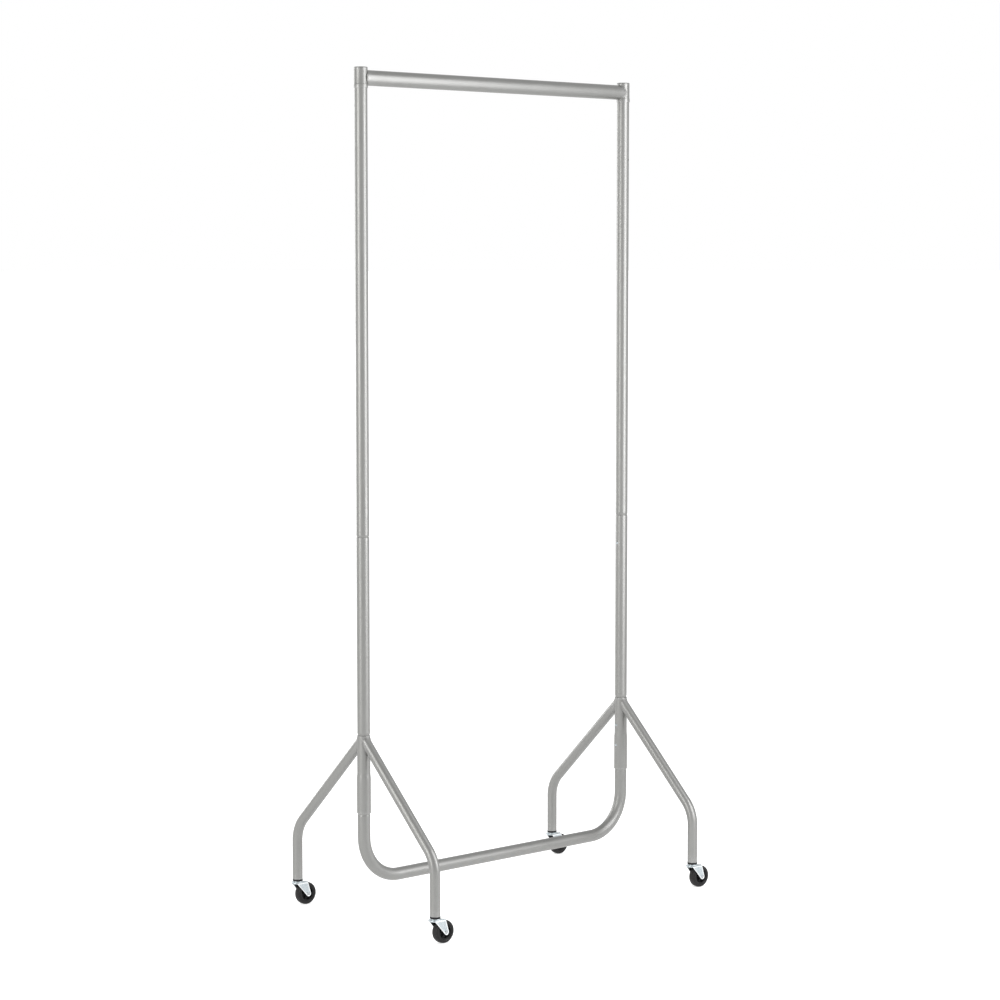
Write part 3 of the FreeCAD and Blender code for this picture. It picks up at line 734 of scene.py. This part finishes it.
class RACK_OT_posts(RackOperator):
    """Upper and lower posts, each swaged at its lower end into the tube below"""
    bl_idname = "rack.posts"
    bl_label = "Posts"

    def execute(self, context):
        sizes = self.sizes
        for end in ENDS:
            upper, lower, sleeve = "upper_post_" + end, "lower_post_" + end, "foot_sleeve_" + end
            facing = 0 if end == "left" else np.pi
            joint = middle("button_post_" + end)[2]
            foot = middle("button_foot_" + end)[2]
            vent = low("rail_collar_" + end)[2] - sizes.vent_drop
            turn = facing + VENT_COLUMNS * 2 * np.pi / COLUMNS
            self.post(upper, high(lower)[2], [(facing, joint, sizes.button_bore, "spigot"),
                                              (turn, vent, sizes.vent_bore, "body")])
            self.post(lower, high(sleeve)[2], [(facing, foot, sizes.button_bore, "spigot"),
                                               (facing, joint, sizes.button_bore, "body")])
        return {"FINISHED"}

    def post(self, node, seat, holes):
        """Post: below the seat its radius is that of the spigot, and above it the radius swells
        to the full tube along half a cosine wave."""
        sizes = self.sizes
        radius = half_size(node)[0]
        spigot = radius - sizes.tube_wall - sizes.tube_gap

        def outer(s):
            return spigot + (radius - spigot) * ease((s - seat + sizes.rim_round) / sizes.shoulder)

        def inner(s):
            return outer(s) - sizes.tube_wall

        stations = np.append(np.linspace(low(node)[2], high(node)[2], 5),
                             seat + np.linspace(-sizes.rim_round, sizes.shoulder, 13))
        holes = [(theta, along, bore, spigot if part == "spigot" else radius)
                 for theta, along, bore, part in holes]
        for theta, along, bore, wall in holes:
            reach = (hole_cells(bore, wall) + 0.3) * column_width(wall)
            clear = stations[np.abs(stations - along) > reach]
            stations = np.append(clear, hole_stations(along, bore, wall))
        outline = wall_outline(stations, outer, inner, sizes.rim_round)
        x, y = middle(node)[:2]
        tube(node + "_tube", outline, upright(x, y), node, holes)


class RACK_OT_foot_frames(RackOperator):
    """Sleeve and two bent legs at each end, welded together"""
    bl_idname = "rack.foot_frames"
    bl_label = "Foot frames"

    def execute(self, context):
        sizes = self.sizes
        post = half_size("lower_post_left")[0]
        bore = post - sizes.tube_wall
        for end in ENDS:
            self.sleeve(end, bore, post + sizes.tube_gap)
            for side in SIDES:
                self.leg(end, side, bore + sizes.sleeve_wall)
        return {"FINISHED"}

    def sleeve(self, end, bore, wide_bore):
        """Sleeve: narrow above the flare and wide below it, both walls following half a cosine
        wave across the flare."""
        sizes = self.sizes
        node = "foot_sleeve_" + end
        wide = half_size(node)[0]
        narrow = bore + sizes.sleeve_wall
        flare = high("base_bar")[2] + sizes.bar_clearance
        facing = 0 if end == "left" else np.pi
        holes = [(facing, middle("button_foot_" + end)[2], sizes.button_bore, narrow),
                 (facing, middle("button_bar_" + end)[2], sizes.button_bore, wide)]

        def outer(s):
            return wide + (narrow - wide) * ease((s - flare) / sizes.flare)

        def inner(s):
            return wide_bore + (bore - wide_bore) * ease((s - flare) / sizes.flare)

        stations = np.concatenate(
            [[low(node)[2], high(node)[2]], flare + np.linspace(0, sizes.flare, 13)]
            + [hole_stations(*hole[1:]) for hole in holes])
        outline = wall_outline(stations, outer, inner, sizes.rim_round)
        x, y = middle(node)[:2]
        tube(node + "_tube", outline, upright(x, y), node, holes)

    def leg(self, end, side, sleeve_radius):
        """Leg: a ring carried along a straight run, an arc and a second straight run. Near the
        sleeve each line along the tube starts where it meets the sleeve's round."""
        sizes = self.sizes
        node = "leg_" + side + "_" + end
        way = -1 if side == "front" else 1
        radius = half_size(node)[0]
        out = (high(node)[1] if way > 0 else -low(node)[1]) - radius
        x = middle(node)[0]
        join, foot = high("foot_sleeve_" + end)[2] - sizes.leg_join, low(node)[2]
        at, knots = bent_path([(0, join), (out, sizes.leg_corner), (out, foot)], sizes.leg_bend)

        def place(a, s, r):
            across, lift = r * np.cos(a), r * np.sin(a)
            ahead = at(s)[1]
            reach = np.sqrt(sleeve_radius ** 2 - across ** 2) + lift * ahead[..., 1]
            start = reach / ahead[..., 0].clip(0.1)
            moved = np.where(s < knots[1], start + (knots[1] - start) * s / knots[1], s)
            point, ahead = at(moved)
            y = point[..., 0] - lift * ahead[..., 1]
            z = point[..., 1] + lift * ahead[..., 0]
            return np.stack([x + across, way * y, z], -1)

        stations = np.concatenate([
            np.linspace(0, knots[1], 12), np.linspace(knots[1], knots[2], 17),
            np.linspace(knots[2], knots[3], 5)])
        outline = wall_outline(
            stations, lambda s: radius + 0 * s, lambda s: radius - sizes.tube_wall + 0 * s,
            sizes.rim_round / 4)
        tube(node + "_tube", outline, place, node)
        a = around(180)
        weld_bead("leg_weld_" + side + "_" + end, place(a, 0 * a, radius + 0 * a), sizes)


class RACK_OT_base_bar(RackOperator):
    """U-shaped bar that plugs up into both sleeves"""
    bl_idname = "rack.base_bar"
    bl_label = "Base bar"

    def execute(self, context):
        sizes = self.sizes
        node = "base_bar"
        radius = half_size(node)[1]
        x0, x1 = low(node)[0] + radius, high(node)[0] - radius
        y, top, base = middle(node)[1], high(node)[2], low(node)[2] + radius
        at, knots = bent_path([(x0, top), (x0, base), (x1, base), (x1, top)], sizes.bar_bend)

        def place(a, s, r):
            point, ahead = at(s)
            lift = r * np.cos(a)
            return np.stack([
                point[..., 0] - lift * ahead[..., 1], y + r * np.sin(a),
                point[..., 1] + lift * ahead[..., 0]], -1)

        length = knots[-1]
        down = top - middle("button_bar_left")[2]
        neck = top - low("foot_sleeve_left")[2] + sizes.neck_length / 2

        def outer(s):
            """Plain radius, drawn in along a bell shape where the bar comes out of each sleeve."""
            off = np.minimum(s, length - s) - neck
            return radius - sizes.neck * np.exp(-(2 * off / sizes.neck_length) ** 2)

        holes = [(np.pi, along, sizes.button_bore, radius) for along in (down, length - down)]
        drawn_in = neck + np.linspace(-1, 1, 13) * sizes.neck_length
        stations = np.concatenate([
            [0, length], drawn_in, length - drawn_in, np.linspace(knots[1], knots[2], 25),
            np.linspace(knots[2], knots[3], 9), np.linspace(knots[3], knots[4], 25)]
            + [hole_stations(*hole[1:]) for hole in holes])
        outline = wall_outline(
            stations, outer, lambda s: radius - sizes.tube_wall + 0 * s, sizes.rim_round)
        tube("base_bar_tube", outline, place, node, holes)
        return {"FINISHED"}


class RACK_OT_snap_buttons(RackOperator):
    """Domed snap buttons, with the leaf springs that bend behind them"""
    bl_idname = "rack.snap_buttons"
    bl_label = "Snap buttons"

    def execute(self, context):
        for end in ENDS:
            for joint in ("post", "foot", "bar"):
                name = joint + "_" + end
                self.button("button_" + name, inward(end))
                self.spring("spring_" + name, "button_body_" + name, inward(end))
        return {"FINISHED"}

    def button(self, node, way):
        """Button: a flange, then a shank that closes in a shallow dome. The outline goes round
        the X axis."""
        x, y, z = middle(node)
        length, flange = 2 * half_size(node)[0], half_size(node)[1]
        shank, step = flange - self.sizes.button_step, self.sizes.button_flange
        outline = rounded(
            [(0, 0), (flange, 0), (flange, step), (shank, step), (shank, length), (0, length)],
            [0, 0.0002, 0.0002, 0.0001, 0.0016, 0], steps=8)
        a = around(48)
        r, h = outline[:, :1], outline[:, 1:]
        back = x - way * length / 2
        points = np.stack([
            back + way * (h + 0 * a), y + r * np.cos(a), z + r * np.sin(a)], -1)
        make_piece(node + "_dome", points.reshape(-1, 3),
                   grid_faces(*points.shape[:2], wrap_rows=False), node, "zinc_plate")

    def spring(self, node, button, way):
        """Spring: a thin flat strip carried up one leg, over a half circle and down the other leg.
        It is built in place and rides on no body."""
        thick = self.sizes.spring_sheet
        x, y, z = middle(node)
        half = half_size(node)[1]
        fold = half_size(node)[0] - thick / 2
        bend = high(node)[2] - thick / 2 - fold
        turn = np.linspace(0, np.pi, 25)
        leg = np.linspace(low(node)[2], bend, 5)[:-1]
        reach = np.concatenate([fold + 0 * leg, fold * np.cos(turn), -fold + 0 * leg])
        height = np.concatenate([leg, bend + fold * np.sin(turn), leg[::-1]])
        out = np.stack([
            np.concatenate([1 + 0 * leg, np.cos(turn), -1 + 0 * leg]),
            np.concatenate([0 * leg, np.sin(turn), 0 * leg])], 1)
        section = rounded(
            [(-thick / 2, -half), (thick / 2, -half), (thick / 2, half), (-thick / 2, half)],
            thick / 5, closed=True, steps=3)
        n, across = section[:, 0], section[:, 1]
        points = np.stack([
            x + way * (reach[:, None] + n * out[:, :1]), y + across + 0 * reach[:, None],
            height[:, None] + n * out[:, 1:]], -1)
        ends = [np.tile(row.mean(axis=0), (1, len(section), 1)) for row in (points[0], points[-1])]
        points = np.concatenate([ends[0], points, ends[1]])
        piece = make_piece(
            "leaf_" + node, points.reshape(-1, 3), grid_faces(*points.shape[:2], wrap_rows=False),
            node, "spring_steel", rides=False)
        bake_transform(piece)


def casters():
    """Names of the four casters, such as front_left."""
    return [side + "_" + end for end in ENDS for side in SIDES]


class RACK_OT_caster_mounts(RackOperator):
    """Leg plug, stem, bearing cup and balls over each fork"""
    bl_idname = "rack.caster_mounts"
    bl_label = "Caster mounts"

    def execute(self, context):
        for k in casters():
            self.plug("leg_plug_" + k, "leg_" + k)
            self.stem("caster_stem_" + k, "caster_race_" + k, "caster_fork_" + k)
            self.cup("caster_race_" + k)
            give_material("caster_balls_" + k, material_for("bearing_steel"))
        return {"FINISHED"}

    def plug(self, node, leg):
        """Plug: a body in the leg and a round-edged flange under it, with a bore for the stem."""
        sizes = self.sizes
        x, y = middle(node)[:2]
        top, base, seat = high(node)[2], low(node)[2], low(leg)[2]
        bore, flange = sizes.stem_radius, half_size(node)[0]
        body = half_size(leg)[0] - sizes.tube_wall - sizes.tube_gap / 2
        outline = rounded(
            [(bore, top), (body, top), (body, seat), (flange, seat), (flange, base), (bore, base)],
            [0.0003, 0.001, 0, 0.0004, 0.0012, 0.0003], closed=True)
        turned("leg_insert_" + node[9:], outline, (x, y, 0), node, "black_plastic", closed=True)

    def stem(self, node, race, fork):
        """Stem: a pin with a domed top, a neck through the fork and a peened foot."""
        sizes = self.sizes
        x, y = middle(node)[:2]
        top, base, peen = high(node)[2], low(node)[2], half_size(node)[0]
        pin, neck = sizes.stem_radius, sizes.stem_neck
        step = high(race)[2] - sizes.cup_sheet - sizes.tube_gap
        under = high(fork)[2] - sizes.fork_sheet - sizes.tube_gap
        outline = rounded(
            [(0, top), (pin, top), (pin, step), (neck, step),
             (neck, under), (peen, under), (peen, base), (0, base)],
            [0, 0.001, 0, 0, 0, 0.0002, 0.0009, 0])
        turned("stem_pin_" + node[12:], outline, (x, y, 0), node, "dark_steel", columns=48)

    def cup(self, node):
        """Cup: a flat top with a round shoulder and a skirt over the balls, the same thickness
        all through."""
        inner, thick = self.sizes.stem_radius, self.sizes.cup_sheet
        x, y = middle(node)[:2]
        top, base, out = high(node)[2], low(node)[2], half_size(node)[0]
        outline = rounded(
            [(inner, top), (out, top), (out, base), (out - thick, base),
             (out - thick, top - thick), (inner, top - thick)],
            [0.0001, 0.0014, 0.0003, 0.0003, 0.0005, 0.0001], closed=True)
        turned("bearing_cup_" + node[12:], outline, (x, y, 0), node, "zinc_plate", closed=True,
               columns=80)


def touch(point, centre, radius, way):
    """Where a line from a point touches a circle, on one side of it or the other."""
    dx, dz = point[0] - centre[0], point[1] - centre[1]
    turn = math.atan2(dz, dx) + way * math.acos(radius / math.hypot(dx, dz))
    return centre[0] + radius * math.cos(turn), centre[1] + radius * math.sin(turn)


def off_line(x, z, a, b):
    """Distance of points from the line through a and b."""
    (ax, az), (bx, bz) = a, b
    return np.abs((bx - ax) * (az - z) - (ax - x) * (bz - az)) / math.hypot(bx - ax, bz - az)


class RACK_OT_forks(RackOperator):
    """Pressed caster forks and their axle rivets"""
    bl_idname = "rack.forks"
    bl_label = "Forks"

    def execute(self, context):
        for k in casters():
            self.fork("caster_fork_" + k, "caster_axle_" + k, "caster_stem_" + k)
            self.rivet("caster_axle_" + k)
        return {"FINISHED"}

    def fork(self, node, axle, stem):
        """Fork: one sheet. An outline runs along one side, round the front and back along the
        other. From it the sheet folds down through a quarter round to a skirt, the sides go on
        down as arms that narrow to a round tip, and inward it closes to the stem's hole. Each
        arm's edge stands out from its panel, and two small bumps are pressed near its top."""
        sizes = self.sizes
        centre, tip = middle(stem), middle(axle)
        trail, axle_drop = tip[0] - centre[0], tip[2]
        top = high(node)[2]
        side = half_size(node)[1] - sizes.fork_proud
        nose = centre[0] - low(node)[0]
        fold, skirt, round_tip = sizes.fork_fold, top - sizes.fork_skirt, sizes.fork_tip
        front, rear = -math.sqrt(nose ** 2 - side ** 2), sizes.fork_rear
        # Each edge is a line from its top to where it touches the round tip.
        front_edge = (front, skirt), touch((front, skirt), (trail, axle_drop), round_tip, 1)
        rear_edge = (rear, top), touch((rear, top), (trail, axle_drop), round_tip, -1)

        def edge_x(z, edge, way):
            """An arm's edge at height z: the straight line, and the tip's circle below it."""
            (x_top, z_top), (x_low, z_low) = edge
            line = x_top + (x_low - x_top) * (z_top - z) / (z_top - z_low)
            circle = trail + way * np.sqrt(np.maximum(round_tip ** 2 - (z - axle_drop) ** 2, 0))
            return np.where(z > z_low, line, circle)

        def arm_x(z, share):
            """A point of an arm at height z, at a share of the way from its front edge."""
            a = np.where(z > skirt, front, edge_x(z, front_edge, -1))
            return a + (edge_x(z, rear_edge, 1) - a) * share

        def proud(x, z):
            """How far an arm's face stands out: full at its edges, nothing on its panel, and a
            round bump at each of two places."""
            on_tip = z < max(front_edge[1][1], rear_edge[1][1])
            d = np.minimum(off_line(x, z, *front_edge), off_line(x, z, *rear_edge))
            d = np.minimum(d, np.where(on_tip, round_tip - np.hypot(x - trail, z - axle_drop), 1.0))
            d = np.minimum(d, np.maximum(top - fold - z, 0))
            edge = 1 - ease((d / sizes.fork_rim - 0.65) / 0.35)
            level = top - 2.1 * sizes.fork_bump
            bump = 0
            for place in (sizes.bump_first, sizes.bump_first + sizes.bump_step):
                off = np.hypot(x - place, z - level) / sizes.fork_bump
                bump = np.maximum(bump, 1 - ease(off - 0.2))
            return sizes.fork_proud * np.maximum(edge, bump) * ease((top - z) / fold)

        # The outline: along one side to the nose and back along the other.
        along = np.linspace(0, 1, 29)
        turn = np.linspace(-1, 1, 33) * math.asin(side / nose)
        arc_x, arc_y = -nose * np.cos(turn), nose * np.sin(turn)

        def ring(z_low, back, z):
            """The outline at one level of the fold: `back` in from the sheet's outer face."""
            side_x = arm_x(np.array(z_low), 1 - along[:-1])
            side_y = np.full(len(side_x), side - back)
            x = np.concatenate([side_x, arc_x * ((nose - back) / nose), side_x[::-1]])
            y = np.concatenate([-side_y, arc_y * (side - back) / side, side_y])
            return np.stack([x, y, np.full(len(x), z)], -1)

        bends = np.linspace(np.pi / 2, 0, 7)
        rows = [ring(top, fold * (1 - math.cos(b)), top - fold * (1 - math.sin(b))) for b in bends]
        rows += [ring(z, 0.0, z) for z in np.linspace(top - fold, skirt, 4)[1:]]
        band = np.array(rows)
        # Rear edge of the head, a shallow curve between the two sides.
        first = band[0]
        t = np.linspace(0, 1, 19)[1:-1, None]
        lip = first[-1] + (first[0] - first[-1]) * t
        lip[:, 0] -= sizes.fork_lip * np.sin(np.pi * t[:, 0])
        loop = np.concatenate([first, lip])
        a = np.arctan2(loop[:, 1], loop[:, 0])
        hole = sizes.fork_hole * np.stack([np.cos(a), np.sin(a), 0 * a], -1) + (0, 0, top)
        inner = np.linspace(0, 1, 9)[:, None, None]
        plate = (1 - inner) * loop + inner * hole
        # Arms: from the skirt's level down, closer together near the tip.
        share = np.linspace(0, 1, 40)
        z = skirt + (axle_drop - round_tip - skirt) * np.sin(share * np.pi / 2) ** 0.9
        x = arm_x(z[:, None], 1 - along[None, :])
        arms = [np.stack([x, y + 0 * x, z[:, None] + 0 * x], -1) for y in (-side, side)]
        sheets = [(sheet.reshape(-1, 3), grid_faces(*sheet.shape[:2], False, goes_round))
                  for sheet, goes_round in zip((band, plate, *arms), (False, True, False, False))]
        points = np.concatenate([p for p, q in sheets])
        starts = np.cumsum([0] + [len(p) for p, q in sheets[:-1]])
        quads = np.concatenate([q + n for (p, q), n in zip(sheets, starts)])
        on_arm = np.abs(points[:, 1]) > side - TINY
        raised = np.where(on_arm, proud(points[:, 0], points[:, 2]), 0)
        points[:, 1] += np.sign(points[:, 1]) * raised
        points[:, :2] += centre[:2]
        # The raised rim and bumps get a painted highlight: their share of rise goes into the
        # attribute that the zinc turns near-white.
        piece = make_piece("fork_pressing_" + node[12:], points, quads, node, "zinc_plate",
                           wear_and_highlight=raised / sizes.fork_proud)
        solid = piece.modifiers.new("sheet", "SOLIDIFY")
        solid.thickness = sizes.fork_sheet
        solid.offset = -1.0

    def rivet(self, node):
        """Rivet: a shaft with a domed head at each end, going round the Y axis."""
        head, half = half_size(node)[:2]
        seat, shaft = half - self.sizes.rivet_head, self.sizes.rivet_shaft
        outline = rounded(
            [(0, -half), (head, -half), (head, -seat), (shaft, -seat),
             (shaft, seat), (head, seat), (head, half), (0, half)],
            [0, 0.0014, 0, 0, 0, 0, 0.0014, 0])
        turned("axle_rivet_" + node[12:], outline, middle(node), node, "bearing_steel",
               along="y", columns=48)


class RACK_OT_wheels(RackOperator):
    """Wheel centres and their treads"""
    bl_idname = "rack.wheels"
    bl_label = "Wheels"

    def execute(self, context):
        for k in casters():
            self.centre("wheel_hub_" + k)
            self.tread("wheel_tyre_" + k, "wheel_hub_" + k)
        return {"FINISHED"}

    def centre(self, node):
        """Wheel centre: a boss, a thin web and a rim. Six ribs stand on the web, each a narrow
        bell shape round the wheel."""
        sizes = self.sizes
        rim, half = half_size(node)[:2]
        inside = rim - sizes.wheel_rim
        edge, web = sizes.wheel_edge, sizes.wheel_web
        boss, bore = sizes.wheel_boss, sizes.wheel_bore
        side = [(bore, half), (boss, half), (boss, web), (inside, web), (inside, edge), (rim, edge)]
        corners = side + [(r, -h) for r, h in side[::-1]]
        outline = rounded(
            corners, [0.0002, 0.0006, 0.0006, 0.0006, 0.0004, 0.0003] * 2, closed=True)
        parts = [outline[:1]]
        for a, b in zip(outline[:-1], outline[1:]):
            count = max(int(np.hypot(*(b - a)) / CENTRE_STEP), 1)
            parts.append(a + (b - a) * np.linspace(0, 1, count + 1)[1:, None])

        def ribs(r, h, a):
            off = r * (np.mod(a * 3 / np.pi + 0.5, 1) - 0.5) * np.pi / 3
            bell = np.exp(-(off / sizes.rib_half) ** 4)
            on_web = (r > boss - TINY) & (r < inside + TINY) & (np.abs(h) < edge)
            raised = np.maximum(np.abs(h), web + (edge - sizes.rib_drop - web) * bell)
            return np.where(on_web, np.sign(h) * raised, h + 0 * a)

        turned("wheel_centre_" + node[10:], np.concatenate(parts), middle(node), node,
               "black_plastic", closed=True, along="y", columns=144, ribs=ribs)

    def tread(self, node, hub):
        """Tread: a crowned band with a fine mould line round its middle, round shoulders and
        sides that step in to the wheel centre."""
        sizes = self.sizes
        radius, half = half_size(node)[:2]
        inner, edge = half_size(hub)[0], sizes.wheel_edge
        shoulder = radius - sizes.tread_crown
        y = np.linspace(-half, half, 49)
        line = sizes.parting_line * np.exp(-(y / 0.0004) ** 2)
        arch = np.sqrt(np.maximum(1 - np.abs(y / half) ** 2.4, 0))
        crown = shoulder + sizes.tread_crown * arch - sizes.parting_line + line
        crown = np.stack([crown, y], 1)[1:-1]
        step = inner + sizes.tread_step
        wall = rounded([(shoulder - 0.0002, half), (step, half), (inner, edge),
                        (inner, -edge), (step, -half), (shoulder - 0.0002, -half)],
                       [0, 0.0006, 0.0002, 0.0002, 0.0006, 0])
        turned("wheel_tread_" + node[11:], np.concatenate([crown, wall]), middle(node), node,
               "black_rubber", closed=True, along="y", columns=120,
               wear_and_highlight=lambda r, h: ease((r - shoulder) / sizes.tread_crown))


class RACK_OT_studio(RackOperator):
    """Plain pale floor, soft lights and the camera"""
    bl_idname = "rack.studio"
    bl_label = "Studio"

    def execute(self, context):
        scene = context.scene
        self.floor()
        self.world(scene)
        self.camera(scene)
        hub = (np.array(CAD_BOX[0]) + np.array(CAD_BOX[1])) / 2
        for name, turn, away, width, power, tone in (
                ("strip_left", 50.0, 4.2, 1.6, 54.0, "#fdfdfb"),
                ("strip_right", -62.0, 2.05, 1.25, 44.0, "#fdfdff"),
                ("strip_back", 132.0, 3.6, 1.4, 34.0, "#fdfdfd")):
            angle = CAMERA_YAW + math.radians(turn) + math.pi
            place = hub + away * np.array([math.sin(angle), math.cos(angle), 0.0])
            light = bpy.data.lights.new(name, "AREA")
            light.shape, light.size, light.size_y = "RECTANGLE", width, STRIP_HEIGHT
            light.energy, light.color = power, linear(tone)
            lamp = bpy.data.objects.new(name, light)
            lamp.location = (place[0], place[1], STRIP_MIDDLE)
            lamp.rotation_euler = Euler((math.radians(90), 0, -(angle + math.pi)))
            scene.collection.objects.link(lamp)
        scene.view_settings.view_transform = "Standard"
        return {"FINISHED"}

    def floor(self):
        """Floor: one flat square under the rack. It glows a little, so that it meets the white
        room without a seam, and less than that onto the rack."""
        reach = 400.0
        corners = [(-reach, -reach, 0), (reach, -reach, 0), (reach, reach, 0), (-reach, reach, 0)]
        mesh = bpy.data.meshes.new("floor")
        mesh.from_pydata(corners, [], [(0, 1, 2, 3)])
        material, tree, shader, where = new_material("white_paper_sweep", Roughness=0.9)
        rgb = bpy.context.scene.rack_colours.floor
        shader.inputs["Base Color"].default_value = opaque(rgb)
        shader.inputs["Emission Color"].default_value = opaque(rgb)
        seen = add(tree, "LightPath").outputs["Is Camera Ray"]
        glow = add(tree, "MapRange", {"To Min": 0.2, "To Max": 0.5}, {"Value": seen})
        tree.links.new(glow.outputs["Result"], shader.inputs["Emission Strength"])
        mesh.materials.append(material)
        floor = bpy.data.objects.new("floor", mesh)
        bpy.context.scene.collection.objects.link(floor)

    def world(self, scene):
        """Room: white where the camera looks, and a dim grey, darker overhead, for the light."""
        world = bpy.data.worlds.new("room")
        scene.world = world
        world.use_nodes = True
        tree = world.node_tree
        tree.nodes.clear()
        up = add(tree, "SeparateXYZ", links={"Vector": add(tree, "TexCoord").outputs["Generated"]})
        dim = add(tree, "MapRange", {"From Max": 0.8, "To Min": 0.9, "To Max": 0.72},
                  {"Value": up.outputs["Z"]})
        lit = add(tree, "Background", {"Color": (1, 1, 1, 1)}, {"Strength": dim.outputs["Result"]})
        seen = add(tree, "Background", {"Color": (1, 1, 1, 1), "Strength": 1.0})
        path = add(tree, "LightPath").outputs["Is Camera Ray"]
        both = add(tree, "MixShader", links={0: path, 1: lit.outputs[0], 2: seen.outputs[0]})
        add(tree, "OutputWorld", links={"Surface": both.outputs[0]})

    def camera(self, scene):
        """Camera: eye height, looking a little down, across the rack from its front left."""
        data = bpy.data.cameras.new("camera")
        data.sensor_width, data.lens = 36.0, 97.7
        data.clip_end = 1000.0
        camera = bpy.data.objects.new("camera", data)
        camera.location = (-4.698, -5.212, 1.657)
        camera.rotation_euler = Euler((math.radians(85.0), 0.0, -CAMERA_YAW))
        scene.collection.objects.link(camera)
        scene.camera = camera


OPERATORS = (
    RACK_OT_hanging_rail, RACK_OT_posts, RACK_OT_foot_frames, RACK_OT_base_bar,
    RACK_OT_snap_buttons, RACK_OT_caster_mounts, RACK_OT_forks, RACK_OT_wheels, RACK_OT_studio)


class RACK_PT_panel(bpy.types.Panel):
    """Lists the rack's operators, sizes and colours"""
    bl_idname = "RACK_PT_panel"
    bl_label = "Rolling clothes rack"
    bl_space_type = "VIEW_3D"
    bl_region_type = "UI"
    bl_category = "Rack"

    def draw(self, context):
        for operator in OPERATORS:
            self.layout.operator(operator.bl_idname)
        for group in (context.scene.rack_sizes, context.scene.rack_colours):
            column = self.layout.column()
            for name in group.bl_rna.properties.keys():
                if name not in ("rna_type", "name"):
                    column.prop(group, name)


CLASSES = (RackSizes, RackColours, *OPERATORS, RACK_PT_panel)


def register():
    for cls in CLASSES:
        bpy.utils.register_class(cls)
    bpy.types.Scene.rack_sizes = PointerProperty(type=RackSizes)
    bpy.types.Scene.rack_colours = PointerProperty(type=RackColours)


def unregister():
    del bpy.types.Scene.rack_colours
    del bpy.types.Scene.rack_sizes
    for cls in reversed(CLASSES):
        bpy.utils.unregister_class(cls)


def main():
    """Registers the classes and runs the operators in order."""
    register()
    bpy.ops.rack.hanging_rail()
    bpy.ops.rack.posts()
    bpy.ops.rack.foot_frames()
    bpy.ops.rack.base_bar()
    bpy.ops.rack.snap_buttons()
    bpy.ops.rack.caster_mounts()
    bpy.ops.rack.forks()
    bpy.ops.rack.wheels()
    bpy.ops.rack.studio()


if __name__ == "__main__":
    main()
